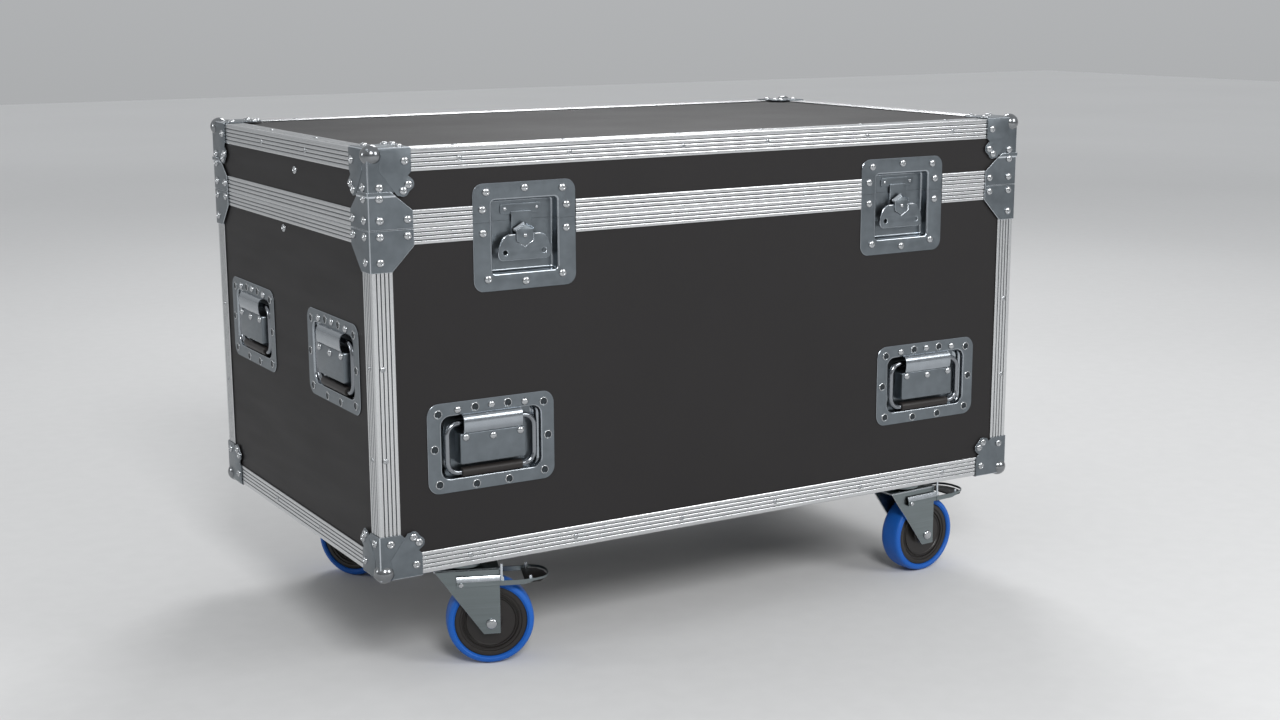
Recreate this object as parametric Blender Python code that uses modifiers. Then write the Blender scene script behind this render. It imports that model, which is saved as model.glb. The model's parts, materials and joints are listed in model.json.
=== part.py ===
"""Flight case: plywood panels in riveted aluminium extrusions, with a hinged lid, on four casters.

Metres, +Z up. The floor is Z = 0, the front is -Y and the origin lies under the middle of the case.
Depths are counted from the outer face of the extrusions, positive towards the inside.
"""

import math

import bmesh
import bpy
from mathutils import Matrix, Vector

# Outer envelope of the extrusions
CASE_LENGTH = 1.084
CASE_DEPTH = 0.629
CASE_HEIGHT = 0.570
LID_HEIGHT = 0.1035
CASTER_HEIGHT = 0.165

# Clearances between pieces
GAP = 0.0003
LID_GAP = 0.0006
SLIDE_GAP = 0.0004

# Plywood and extrusions
PLY = 0.009
SKIN = 0.0018
EDGE_LEG = 0.030
EDGE_RIDGES = 5
RIDGE_DEPTH = 0.0008
RIDGE_GROOVE = 0.0022
WELD_SLACK = 0.0002
LID_RIM_HEIGHT = 0.0235
BODY_RIM_HEIGHT = 0.0215
RIM_RIDGES = 4
RIM_LIP = 0.0016
RIM_LIP_HEIGHT = 0.014
TONGUE_WIDTH = 0.003
TONGUE_HEIGHT = 0.0045
TONGUE_DEPTH = 0.0045
TONGUE_NEAR_GAP = 0.0006
TONGUE_FAR_GAP = 0.0013
TONGUE_TOP_GAP = 0.0015
GROOVE_WALL = 0.0012

# Ball corners and braces
PLATE = 0.0015
BALL_RADIUS = 0.0143
BALL_INSET = 0.0075
CORNER_REACH = 0.0565
CORNER_LEG = 0.029
CORNER_NOTCH = 0.0055
EAR_RADIUS = 0.008
EAR_DISTANCE = 0.071
EAR_SPREAD = 0.0053
BRACE_WIDTH = 0.061
BRACE_LEG = 0.030
LID_BRACE_HEIGHT = 0.0465
BODY_BRACE_HEIGHT = 0.055
PAD_BITE = 0.00035

# Handles
HANDLE_WIDTH = 0.190
HANDLE_HEIGHT = 0.124
HANDLE_ROUND = 0.017
HANDLE_POCKET_WIDTH = 0.152
HANDLE_POCKET_HEIGHT = 0.089
HANDLE_POCKET_ROUND = 0.014
DISH_SHEET = 0.0012
POCKET_DEPTH = 0.014
BAIL_WIDTH = 0.130
BAIL_HEIGHT = 0.068
BAIL_ROUND = 0.016
BAIL_WIRE = 0.004
BAIL_DEPTH = 0.0049
BAIL_RISE = 0.0315
GRIP_RADIUS = 0.0065
GRIP_LENGTH = 0.0905
COVER_WIDTH = 0.096
COVER_SHEET = 0.0014
COVER_RISE = 0.0038
COVER_FOOT = 0.0245
TUNNEL_RADIUS = 0.0115
TUNNEL_DROP = 0.0135
FRONT_HANDLE_INSET = 0.167
FRONT_HANDLE_RISE = 0.168
END_HANDLE_INSET = 0.1495
END_HANDLE_RISE = 0.2735

# Latches
LATCH_INSET = 0.2223
LATCH_WIDTH = 0.154
LATCH_TOP = 0.0521
LATCH_BOTTOM = 0.0925
LATCH_ROUND = 0.015
RECESS_WIDTH = 0.098
RECESS_TOP = 0.0285
RECESS_BOTTOM = 0.069
KEEPER_WIDTH = 0.061
KEEPER_LOW = 0.008
KEEPER_HIGH = 0.022
KEEPER_SHEET = 0.0014
KEEPER_SLACK = 0.0016
HOOK_WIDTH = 0.030
HOOK_SHEET = 0.0018
HOOK_TOP = 0.016
HOOK_BOTTOM = 0.040
HOOK_TRAVEL = 0.010
HOOK_ROUND = 0.002
SPINDLE_DROP = 0.0204
SHAFT_RADIUS = 0.005
BOSS_RADIUS = 0.0145
BOSS_FRONT = 0.0002
BOSS_BEVEL = 0.002
BOSS_BACK = 0.0064
WING_PIN_DEPTH = 0.0034
WING_PIN_RADIUS = 0.001
WING_SHEET = 0.0016
WING_HALF = 0.040
WING_DROP = 0.033
WING_RISE = 0.0025
WING_SHOULDER = 0.026
WING_HOLE_X = 0.029
WING_HOLE_DROP = 0.022
WING_HOLE_RADIUS = 0.0032
BOSS_CLEARANCE = 0.0006

# Hinges
HINGE_INSET = 0.212
HINGE_WIDTH = 0.070
HINGE_KNUCKLES = 3
KNUCKLE_RADIUS = 0.003
HINGE_PIN_RADIUS = 0.0015
HINGE_LEAF = 0.0015
LEAF_HEIGHT = 0.020

# Casters
SWIVEL_END_INSET = 0.152
SWIVEL_SIDE_INSET = 0.0715
TRAIL = 0.036
WHEEL_RADIUS = 0.0625
WHEEL_WIDTH = 0.038
WHEEL_STEPS = 24
TREAD = 0.0105
HUB_WIDTH = 0.0438
HUB_RADIUS = 0.014
AXLE_RADIUS = 0.006
AXLE_HEAD = 0.0075
MOUNT_PLATE_LENGTH = 0.100
MOUNT_PLATE_WIDTH = 0.076
MOUNT_PLATE_SHEET = 0.0035
BOLT_SPACING_X = 0.080
BOLT_SPACING_Y = 0.058
BOLT_HOLE = 0.0045
RACE_RADIUS = 0.032
RACE_DROP = 0.0100
KINGPIN_RADIUS = 0.007
FORK_SHEET = 0.003
FORK_INSIDE = 0.045
FORK_TOP = 0.0813
FORK_BACK = 0.079
FORK_FRONT = 0.0126
FORK_FOOT = 0.0148
FORK_FOOT_BACK = 0.011
CASTER_TURNS = {
    "front_left": math.radians(-20.6),
    "front_right": math.radians(4.0),
    "back_left": math.radians(-57.0),
    "back_right": math.radians(12.0),
}

# Brake lever, from the axle
BRAKE_BACK = 0.048
BRAKE_FRONT = 0.056
BRAKE_LOW = 0.0572
BRAKE_SHOULDER = 0.0645
BRAKE_HIGH = 0.0714
BRAKE_OUT = 0.006
BRAKE_PIN_BACK = 0.042
BRAKE_PIN_RADIUS = 0.002
PEDAL_TIP = 0.084
PEDAL_TIP_HALF = 0.012
PEDAL_SHEET = 0.003

# Places, levels and depths that follow from the sizes above
FRONT_HANDLE_X = CASE_LENGTH / 2 - FRONT_HANDLE_INSET
END_HANDLE_Y = CASE_DEPTH / 2 - END_HANDLE_INSET
LATCH_X = CASE_LENGTH / 2 - LATCH_INSET
HINGE_X = CASE_LENGTH / 2 - HINGE_INSET
CASE_BOTTOM = CASTER_HEIGHT
CASE_TOP = CASTER_HEIGHT + CASE_HEIGHT
LID_LINE = CASE_TOP - LID_HEIGHT
PANEL_FACE = SKIN + GAP
PANEL_BACK = PANEL_FACE + PLY
LIP_FACE = PANEL_BACK + GAP
LIP_BACK = LIP_FACE + RIM_LIP
RIM_FACE = LID_GAP / 2
DISH_BACK = PANEL_FACE - GAP
DISH_FACE = DISH_BACK - DISH_SHEET
COVER_FACE = DISH_FACE - COVER_RISE
POCKET_FLOOR = DISH_FACE + POCKET_DEPTH
POCKET_BACK = POCKET_FLOOR + DISH_SHEET
HINGE_AXIS = -(KNUCKLE_RADIUS + GAP)
AXLE_HEIGHT = WHEEL_RADIUS * math.cos(math.pi / WHEEL_STEPS)
AXLE_DROP = CASTER_HEIGHT - AXLE_HEIGHT
BRAKE_PIN_RISE = (BRAKE_LOW + BRAKE_SHOULDER) / 2

TURNS = {"front": 0.0, "right": math.pi / 2, "back": math.pi, "left": -math.pi / 2}

for old in list(bpy.data.objects):
    bpy.data.objects.remove(old, do_unlink=True)

parts = bpy.data.collections.new("flight_case")
cutters = bpy.data.collections.new("cutters")
bpy.context.scene.collection.children.link(parts)
bpy.context.scene.collection.children.link(cutters)


def material(name, colour, roughness, metallic):
    """A plain Principled material."""
    made = bpy.data.materials.new(name)
    made.use_nodes = True
    shader = made.node_tree.nodes["Principled BSDF"]
    shader.inputs["Base Color"].default_value = (*colour, 1.0)
    shader.inputs["Roughness"].default_value = roughness
    shader.inputs["Metallic"].default_value = metallic
    made.diffuse_color = (*colour, 1.0)
    return made


LAMINATE = material("dark_laminate", (0.040, 0.037, 0.038), 0.45, 0.0)
ALUMINIUM = material("ridged_aluminium", (0.72, 0.73, 0.74), 0.30, 1.0)
ZINC = material("zinc_plate", (0.42, 0.46, 0.50), 0.35, 1.0)
WIRE = material("bright_wire", (0.75, 0.76, 0.78), 0.18, 1.0)
WHEEL = material("blue_tyre", (0.020, 0.110, 0.430), 0.50, 0.0)
FORK = material("zinc_fork", (0.36, 0.40, 0.42), 0.40, 1.0)


def bake(obj):
    """The mesh of an object with its modifiers applied. The object and its operands are removed."""
    graph = bpy.context.evaluated_depsgraph_get()
    mesh = bpy.data.meshes.new_from_object(obj.evaluated_get(graph))
    made = bmesh.new()
    made.from_mesh(mesh)
    bmesh.ops.remove_doubles(made, verts=made.verts, dist=1e-6)
    bmesh.ops.recalc_face_normals(made, faces=made.faces)
    made.to_mesh(mesh)
    made.free()
    for modifier in list(obj.modifiers):
        if modifier.type == "BOOLEAN":
            remove_tree(modifier.object)
    bpy.data.objects.remove(obj, do_unlink=True)
    return mesh


def remove_tree(obj):
    """Removes an operand and whatever it was itself made from."""
    for modifier in list(obj.modifiers):
        if modifier.type == "BOOLEAN":
            remove_tree(modifier.object)
    bpy.data.objects.remove(obj, do_unlink=True)


def helper(name, mesh):
    """An object that shapes another one and isn't a piece itself."""
    obj = bpy.data.objects.new(name, mesh)
    obj.hide_render = True
    obj.display_type = "WIRE"
    cutters.objects.link(obj)
    return obj


def piece(name, mesh, finish, matrix=None):
    """A sub-part of the case, placed by its own location and rotation."""
    obj = bpy.data.objects.new(name, mesh)
    if not mesh.materials:
        mesh.materials.append(finish)
    obj.matrix_world = matrix or Matrix.Identity(4)
    parts.objects.link(obj)
    return obj


def boolean(host, other, operation):
    """Cuts an object with another one, joins it to that one or keeps what they share."""
    modifier = host.modifiers.new(operation.lower(), "BOOLEAN")
    modifier.operation = operation
    modifier.solver = "EXACT"
    modifier.object = other
    return host


def cut(host, *others):
    for other in others:
        boolean(host, other, "DIFFERENCE")
    return host


def join(host, *others):
    for other in others:
        boolean(host, other, "UNION")
    return host


def moved(obj, matrix):
    obj.matrix_world = matrix
    return obj


def box(name, low, high):
    """A block between two corners."""
    low, high = Vector(low), Vector(high)
    size = high - low
    made = bmesh.new()
    place = Matrix.Translation((low + high) / 2) @ Matrix.Diagonal((*size, 1.0))
    bmesh.ops.create_cube(made, size=1.0, matrix=place)
    mesh = bpy.data.meshes.new(name)
    made.to_mesh(mesh)
    made.free()
    return helper(name, mesh)


AXES = {
    "X": Matrix.Rotation(math.pi / 2, 4, "Y"),
    "Y": Matrix.Rotation(math.pi / 2, 4, "X"),
    "Z": Matrix.Identity(4),
}


def rod(name, axis, low, high, centre, radius, segments=16, far_radius=None, turn=0.0):
    """A cylinder, cone or polygonal bar along an axis, between two places on it."""
    made = bmesh.new()
    middle = Vector(centre)
    middle["XYZ".index(axis)] = (low + high) / 2
    place = Matrix.Translation(middle) @ AXES[axis] @ Matrix.Rotation(turn, 4, "Z")
    ends = (radius, radius if far_radius is None else far_radius)
    bmesh.ops.create_cone(
        made,
        cap_ends=True,
        segments=segments,
        radius1=ends[0],
        radius2=ends[1],
        depth=high - low,
        matrix=place,
    )
    mesh = bpy.data.meshes.new(name)
    made.to_mesh(mesh)
    made.free()
    return helper(name, mesh)


PLANES = {
    "XY": Matrix.Identity(4),
    "XZ": Matrix(((1, 0, 0, 0), (0, 0, 1, 0), (0, 1, 0, 0), (0, 0, 0, 1))),
    "YZ": Matrix(((0, 0, 1, 0), (1, 0, 0, 0), (0, 1, 0, 0), (0, 0, 0, 1))),
}


def prism(name, plane, low, high, outline, *holes):
    """A flat outline in a plane, with its holes, extruded along the third axis from low to high."""
    curve = bpy.data.curves.new(name, "CURVE")
    curve.dimensions = "2D"
    curve.fill_mode = "BOTH"
    curve.extrude = (high - low) / 2
    for points in (outline, *holes):
        spline = curve.splines.new("POLY")
        spline.points.add(len(points) - 1)
        for point, (first, second) in zip(spline.points, points):
            point.co = (first, second, 0.0, 1.0)
        spline.use_cyclic_u = True
    carrier = bpy.data.objects.new(name, curve)
    cutters.objects.link(carrier)
    graph = bpy.context.evaluated_depsgraph_get()
    mesh = bpy.data.meshes.new_from_object(carrier.evaluated_get(graph))
    bpy.data.objects.remove(carrier, do_unlink=True)
    mesh.transform(PLANES[plane] @ Matrix.Translation((0, 0, (low + high) / 2)))
    made = bmesh.new()
    made.from_mesh(mesh)
    bmesh.ops.remove_doubles(made, verts=made.verts, dist=1e-6)
    bmesh.ops.recalc_face_normals(made, faces=made.faces)
    made.to_mesh(mesh)
    made.free()
    return helper(name, mesh)


def turned(name, profile, steps, closed=False):
    """A profile of radius and height, turned about Z. A closed profile makes a ring."""
    made = bmesh.new()
    points = [made.verts.new((radius, 0.0, height)) for radius, height in profile]
    for first, second in zip(points, points[1:] + points[:1] if closed else points[1:]):
        made.edges.new((first, second))
    mesh = bpy.data.meshes.new(name)
    made.to_mesh(mesh)
    made.free()
    obj = helper(name, mesh)
    screw = obj.modifiers.new("turn", "SCREW")
    screw.steps = steps
    screw.render_steps = steps
    screw.use_merge_vertices = True
    screw.merge_threshold = 1e-6
    return helper(name, bake(obj))


def arc(centre, radius, start, end, count):
    """Points on an arc, angles in degrees."""
    found = []
    for step in range(count + 1):
        angle = math.radians(start + (end - start) * step / count)
        found.append((centre[0] + radius * math.cos(angle), centre[1] + radius * math.sin(angle)))
    return found


def rounded(low, high, radius, count=2):
    """A rectangle with round corners, counter-clockwise."""
    (x0, z0), (x1, z1) = low, high
    return (
        arc((x1 - radius, z0 + radius), radius, -90, 0, count)
        + arc((x1 - radius, z1 - radius), radius, 0, 90, count)
        + arc((x0 + radius, z1 - radius), radius, 90, 180, count)
        + arc((x0 + radius, z0 + radius), radius, 180, 270, count)
    )


def ridged(start, end, ridges, inward):
    """Points from start to end along a face with V grooves between its ridges."""
    start, end, inward = Vector(start), Vector(end), Vector(inward)
    along = end - start
    half = along.normalized() * RIDGE_GROOVE / 2
    points = [start]
    for index in range(1, ridges):
        middle = start + along * index / ridges
        points += [middle - half, middle + inward * RIDGE_DEPTH, middle + half]
    return [tuple(point) for point in points + [end]]


def ring(name, profile, half_x, half_y):
    """A mitred rectangular frame: the profile's depth is counted in from the outer faces."""
    base = 4 * EDGE_LEG
    square = [(math.sqrt(2) * (base - depth), height) for depth, height in profile]
    obj = turned(name, square, 4, closed=True)
    obj.data.transform(Matrix.Rotation(math.pi / 4, 4, "Z"))
    for vertex in obj.data.vertices:
        vertex.co.x += math.copysign(half_x - base, vertex.co.x)
        vertex.co.y += math.copysign(half_y - base, vertex.co.y)
    return obj


def on_face(face, along, height):
    """Frame of a fitting on a side of the case: X along the side, Y into the case, Z up."""
    half = CASE_DEPTH / 2 if face in ("front", "back") else CASE_LENGTH / 2
    return Matrix.Rotation(TURNS[face], 4, "Z") @ Matrix.Translation((along, -half, height))


def at_corner(side_x, side_y, height, upside_down=False):
    """Frame of a fitting at a vertical edge, with X and Y pointing into the case."""
    turn = {(-1, -1): 0, (1, -1): 90, (1, 1): 180, (-1, 1): 270}[(side_x, side_y)]
    place = Matrix.Translation((side_x * CASE_LENGTH / 2, side_y * CASE_DEPTH / 2, height))
    place = place @ Matrix.Rotation(math.radians(turn), 4, "Z")
    if upside_down:
        place = place @ Matrix.Rotation(math.pi, 4, Vector((1, 1, 0)))
    return place


CORNERS = {
    "front_left": (-1, -1),
    "front_right": (1, -1),
    "back_right": (1, 1),
    "back_left": (-1, 1),
}
FRONT_HANDLES = {"front_handle_left": -FRONT_HANDLE_X, "front_handle_right": FRONT_HANDLE_X}
LATCHES = {"left_latch": -LATCH_X, "right_latch": LATCH_X}


def handle_places():
    """Name and frame of each handle."""
    for name, along in FRONT_HANDLES.items():
        yield name, on_face("front", along, CASE_BOTTOM + FRONT_HANDLE_RISE)
    for end in ("left", "right"):
        for where, shift in (("front", -END_HANDLE_Y), ("back", END_HANDLE_Y)):
            along = -shift if end == "left" else shift
            place = on_face(end, along, CASE_BOTTOM + END_HANDLE_RISE)
            yield f"{end}_handle_{where}", place


# Panels
def handle_hole(name, place):
    half_x = HANDLE_POCKET_WIDTH / 2 + DISH_SHEET + GAP
    half_z = HANDLE_POCKET_HEIGHT / 2 + DISH_SHEET + GAP
    round_ = HANDLE_POCKET_ROUND + DISH_SHEET + GAP
    outline = rounded((-half_x, -half_z), (half_x, half_z), round_)
    return moved(prism(name, "XZ", 0.0, LIP_BACK, outline), place)


def latch_notch(name, along):
    half = RECESS_WIDTH / 2 + DISH_SHEET + GAP
    low = -RECESS_BOTTOM - DISH_SHEET - GAP
    high = RECESS_TOP + DISH_SHEET + GAP
    notch = box(name, (-half, -SKIN, low), (half, POCKET_BACK + GAP, high))
    return moved(notch, on_face("front", along, LID_LINE))


def make_panels():
    half_x = CASE_LENGTH / 2
    half_y = CASE_DEPTH / 2
    low = CASE_BOTTOM + PANEL_FACE
    high = LID_LINE - RIM_FACE - SKIN - GAP
    inside_x = half_x - PANEL_BACK - GAP
    inside_y = half_y - PANEL_BACK - GAP
    face_x = half_x - PANEL_FACE
    face_y = half_y - PANEL_FACE
    back_y = half_y - PANEL_BACK
    back_x = half_x - PANEL_BACK
    panels = {
        "floor_panel": ((-inside_x, -inside_y, low), (inside_x, inside_y, low + PLY)),
        "front_panel": ((-face_x, -face_y, low), (face_x, -back_y, high)),
        "back_panel": ((-face_x, back_y, low), (face_x, face_y, high)),
        "left_end_panel": ((-face_x, -inside_y, low), (-back_x, inside_y, high)),
        "right_end_panel": ((back_x, -inside_y, low), (face_x, inside_y, high)),
    }
    made = {}
    for name, (corner, opposite) in panels.items():
        made[name] = piece(name, bake(box(name, corner, opposite)), LAMINATE)
    for name, place in handle_places():
        owner = "front_panel" if name.startswith("front") else f"{name.split('_')[0]}_end_panel"
        cut(made[owner], handle_hole(f"{name}_hole", place))
    notches = [latch_notch(f"{name}_notch", along) for name, along in LATCHES.items()]
    cut(made["front_panel"], *notches)

    roof = LID_LINE + RIM_FACE + TONGUE_HEIGHT + TONGUE_TOP_GAP + GROOVE_WALL + GAP
    shell = box("lid_shell", (-face_x, -face_y, roof), (face_x, face_y, CASE_TOP - PANEL_FACE))
    open_box = bmesh.new()
    open_box.from_mesh(shell.data)
    lowest = min(open_box.faces, key=lambda face: face.calc_center_median().z)
    bmesh.ops.delete(open_box, geom=[lowest], context="FACES")
    open_box.to_mesh(shell.data)
    open_box.free()
    solid = shell.modifiers.new("ply", "SOLIDIFY")
    solid.thickness = PLY
    solid.offset = -1.0
    solid.use_even_offset = True
    lid = piece("lid_box", bake(shell), LAMINATE)
    cut(lid, *notches)


# Extrusions
def edge_profile(slack=0.0):
    """L section of the edge extrusion, its outer corner at zero, with ridges on both outer faces."""
    leg = EDGE_LEG - slack
    inner = SKIN - slack
    side = ridged((slack, leg), (slack, slack), EDGE_RIDGES, (1, 0))
    under = ridged((slack, slack), (leg, slack), EDGE_RIDGES, (0, 1))
    return side + under[1:] + [(leg, inner), (inner, inner), (inner, leg)]


def body_rim_profile():
    """Channel over the top of the body's panels, with the tongue that the lid closes on."""
    top = -RIM_FACE
    low = -RIM_FACE - BODY_RIM_HEIGHT
    lip_low = -RIM_FACE - RIM_LIP_HEIGHT
    return ridged((0.0, top), (0.0, low), RIM_RIDGES, (1, 0)) + [
        (SKIN, low),
        (SKIN, top - SKIN),
        (LIP_FACE, top - SKIN),
        (LIP_FACE, lip_low),
        (LIP_BACK, lip_low),
        (LIP_BACK, top),
        (TONGUE_DEPTH + TONGUE_WIDTH, top),
        (TONGUE_DEPTH + TONGUE_WIDTH, top + TONGUE_HEIGHT),
        (TONGUE_DEPTH, top + TONGUE_HEIGHT),
        (TONGUE_DEPTH, top),
    ]


def lid_rim_profile():
    """Channel under the lid's walls, with the groove that takes the tongue."""
    low = RIM_FACE
    high = RIM_FACE + LID_RIM_HEIGHT
    lip_high = RIM_FACE + RIM_LIP_HEIGHT
    near = TONGUE_DEPTH - TONGUE_NEAR_GAP
    far = TONGUE_DEPTH + TONGUE_WIDTH + TONGUE_FAR_GAP
    roof = RIM_FACE + TONGUE_HEIGHT + TONGUE_TOP_GAP - LID_GAP / 2
    top = roof + GROOVE_WALL
    return ridged((0.0, high), (0.0, low), RIM_RIDGES, (1, 0)) + [
        (near, low),
        (near, roof),
        (far, roof),
        (far, low),
        (LIP_BACK, low),
        (LIP_BACK, lip_high),
        (LIP_FACE, lip_high),
        (LIP_FACE, low + SKIN),
        (far + GROOVE_WALL, low + SKIN),
        (far + GROOVE_WALL, top),
        (near - GROOVE_WALL, top),
        (near - GROOVE_WALL, low + SKIN),
        (SKIN, low + SKIN),
        (SKIN, high),
    ]


def brace_mesh(name, height, rim_height, up):
    """Corner brace over a rim: a bent plate with slanted ends, on pads that bite into the ridges."""
    out = -GAP - PLATE
    bent = [(out, out), (BRACE_WIDTH, out), (BRACE_WIDTH, -GAP), (-GAP, -GAP), (-GAP, BRACE_WIDTH)]
    bent.append((out, BRACE_WIDTH))
    plate = prism(name, "XY", *sorted((up * RIM_FACE, up * height)), bent)
    slant = [
        (BRACE_LEG, up * (height + PLATE)),
        (BRACE_LEG, up * height),
        (BRACE_WIDTH, up * rim_height),
        (BRACE_WIDTH + PLATE, up * rim_height),
        (BRACE_WIDTH + PLATE, up * (height + PLATE)),
    ]
    for number, plane in enumerate(("XZ", "YZ")):
        cut(plate, prism(f"{name}_slant_{number}", plane, 2 * out, -out, slant))
    mid, bite, reach = out / 2, PAD_BITE, BRACE_WIDTH - PLATE
    pad = [(mid, mid), (reach, mid), (reach, bite), (bite, bite), (bite, reach), (mid, reach)]
    levels = sorted((up * (RIM_FACE + PLATE), up * (rim_height - PLATE)))
    join(plate, prism(f"{name}_pad", "XY", *levels, pad))
    return bake(plate)


def make_frames():
    half_x = CASE_LENGTH / 2
    half_y = CASE_DEPTH / 2
    edge = edge_profile()
    post = edge_profile(WELD_SLACK)

    low_ring = [(depth, CASE_BOTTOM + height) for depth, height in edge]
    body_edge = ring("body_edge", low_ring, half_x, half_y)
    top_of_upright = LID_LINE - RIM_FACE - BODY_RIM_HEIGHT - GAP
    foot = CASE_BOTTOM + EDGE_LEG - SKIN
    upright = bake(prism("upright", "XY", foot, top_of_upright, post))
    for name, (side_x, side_y) in CORNERS.items():
        standing = helper(f"{name}_upright", upright)
        join(body_edge, moved(standing, at_corner(side_x, side_y, 0.0)))
    piece("body_edge_frame", bake(body_edge), ALUMINIUM)

    high_ring = [(depth, CASE_TOP - height) for depth, height in edge]
    lid_edge = ring("lid_edge", high_ring, half_x, half_y)
    lid_post_low = LID_LINE + RIM_FACE + LID_RIM_HEIGHT + GAP
    short = bake(prism("short_upright", "XY", lid_post_low, CASE_TOP - EDGE_LEG + SKIN, post))
    for name, (side_x, side_y) in CORNERS.items():
        standing = helper(f"{name}_short_upright", short)
        join(lid_edge, moved(standing, at_corner(side_x, side_y, 0.0)))
    piece("lid_edge_frame", bake(lid_edge), ALUMINIUM)

    reach = LATCH_X + LATCH_WIDTH / 2 + GAP
    strip_half = LATCH_X - LATCH_WIDTH / 2 - GAP
    sides = (
        ("body", body_rim_profile(), BODY_BRACE_HEIGHT, BODY_RIM_HEIGHT, -1),
        ("lid", lid_rim_profile(), LID_BRACE_HEIGHT, LID_RIM_HEIGHT, 1),
    )
    for owner, profile, brace_height, rim_height, up in sides:
        levels = [(depth, LID_LINE + height) for depth, height in profile]
        rim = ring(f"{owner}_rim", levels, half_x, half_y)
        space = box(
            f"{owner}_rim_space",
            (-reach, -half_y - EDGE_LEG, LID_LINE - EDGE_LEG),
            (reach, -half_y + EDGE_LEG, LID_LINE + EDGE_LEG),
        )
        cut(rim, space)
        brace = brace_mesh(f"{owner}_brace", brace_height, rim_height + RIM_FACE, up)
        for name, (side_x, side_y) in CORNERS.items():
            bent = helper(f"{owner}_{name}_brace", brace)
            join(rim, moved(bent, at_corner(side_x, side_y, LID_LINE)))
        piece(f"{owner}_rim_frame", bake(rim), ALUMINIUM)
        section = [(depth - half_y, height) for depth, height in levels]
        strip = prism(f"{owner}_rim_strip", "YZ", -strip_half, strip_half, section)
        piece(f"{owner}_rim_strip", bake(strip), ALUMINIUM)


# Ball corners
def ball_corner_mesh():
    """Three plates round a corner of the case, with a double ear on each, and the ball."""
    out = -GAP - PLATE
    size = CORNER_REACH + EAR_RADIUS
    corner = box("ball_corner", (out, out, out), (size, size, size))
    ball = turned("ball", arc((0.0, 0.0), BALL_RADIUS, 90, -90, 7), 14)
    centre = Matrix.Translation((BALL_INSET, BALL_INSET, BALL_INSET))
    join(corner, moved(ball, centre))
    cut(corner, box("corner_inside", (-GAP, -GAP, -GAP), (2 * size, 2 * size, 2 * size)))
    ear = EAR_DISTANCE / math.sqrt(2)
    spread = EAR_SPREAD / math.sqrt(2)
    beyond = size + EAR_RADIUS
    waste = [(beyond, 2 * out), (CORNER_REACH, 2 * out), (CORNER_REACH, CORNER_LEG)]
    waste.append((CORNER_REACH - CORNER_NOTCH, CORNER_LEG + CORNER_NOTCH))
    waste += arc((ear + spread, ear - spread), EAR_RADIUS, -30, 75, 3)
    waste += arc((ear - spread, ear + spread), EAR_RADIUS, 15, 120, 3)
    waste.append((CORNER_LEG + CORNER_NOTCH, CORNER_REACH - CORNER_NOTCH))
    waste += [(CORNER_LEG, CORNER_REACH), (2 * out, CORNER_REACH), (2 * out, beyond)]
    waste.append((beyond, beyond))
    for plane in PLANES:
        cut(corner, prism(f"corner_waste_{plane}", plane, 2 * out, -GAP / 2, waste))
    return bake(corner)


def make_ball_corners():
    mesh = ball_corner_mesh()
    for name, (side_x, side_y) in CORNERS.items():
        low = at_corner(side_x, side_y, CASE_BOTTOM)
        high = at_corner(side_x, side_y, CASE_TOP, upside_down=True)
        piece(f"ball_corner_bottom_{name}", mesh, ZINC, low)
        piece(f"ball_corner_top_{name}", mesh, ZINC, high)


# Handles
def handle_dish_mesh():
    """Flange and pocket, with the hollow cover that stands up from the floor and holds the bail's bar."""
    half_x, half_z = HANDLE_WIDTH / 2, HANDLE_HEIGHT / 2
    outline = rounded((-half_x, -half_z), (half_x, half_z), HANDLE_ROUND)
    dish = prism("handle_dish", "XZ", DISH_FACE, DISH_BACK, outline)
    in_x, in_z = HANDLE_POCKET_WIDTH / 2, HANDLE_POCKET_HEIGHT / 2
    wall_x, wall_z = in_x + DISH_SHEET, in_z + DISH_SHEET
    wall = rounded((-wall_x, -wall_z), (wall_x, wall_z), HANDLE_POCKET_ROUND + DISH_SHEET)
    inside = rounded((-in_x, -in_z), (in_x, in_z), HANDLE_POCKET_ROUND)
    join(dish, prism("pocket_outside", "XZ", (DISH_FACE + DISH_BACK) / 2, POCKET_BACK, wall))
    cut(dish, prism("pocket_inside", "XZ", -SKIN, POCKET_FLOOR, inside))
    join(dish, handle_cover(), cover_side(-1), cover_side(1))
    return bake(dish)


def cover_line(inset):
    """The cover's side view, from the pocket's top wall over the bail's bar and down to the floor."""
    face = COVER_FACE + inset
    foot = -COVER_FOOT + inset
    rooted = POCKET_FLOOR + DISH_SHEET / 2
    tunnel = arc((BAIL_DEPTH, BAIL_RISE), TUNNEL_RADIUS - inset, 90, 210, 4)
    tuck = (BAIL_DEPTH + BAIL_WIRE, (HANDLE_POCKET_HEIGHT + DISH_SHEET) / 2 - inset)
    return [tuck] + tunnel + [(face, BAIL_RISE - TUNNEL_DROP), (face, foot), (rooted, foot)]


def handle_cover():
    """Bent strip over the bail's bar, with its flat part proud of the flange."""
    made = bmesh.new()
    points = [made.verts.new((-COVER_WIDTH / 2, depth, height)) for depth, height in cover_line(0.0)]
    edges = [made.edges.new(pair) for pair in zip(points, points[1:])]
    swept = bmesh.ops.extrude_edge_only(made, edges=edges)["geom"]
    along = [vertex for vertex in swept if isinstance(vertex, bmesh.types.BMVert)]
    bmesh.ops.translate(made, verts=along, vec=(COVER_WIDTH, 0, 0))
    bmesh.ops.recalc_face_normals(made, faces=made.faces)
    mesh = bpy.data.meshes.new("handle_cover")
    made.to_mesh(mesh)
    made.free()
    flat = min(mesh.polygons, key=lambda face: abs(face.center.z))
    if flat.normal.y > 0:
        mesh.flip_normals()
    cover = helper("handle_cover", mesh)
    solid = cover.modifiers.new("sheet", "SOLIDIFY")
    solid.thickness = COVER_SHEET
    solid.offset = -1.0
    solid.use_even_offset = True
    return cover


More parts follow.
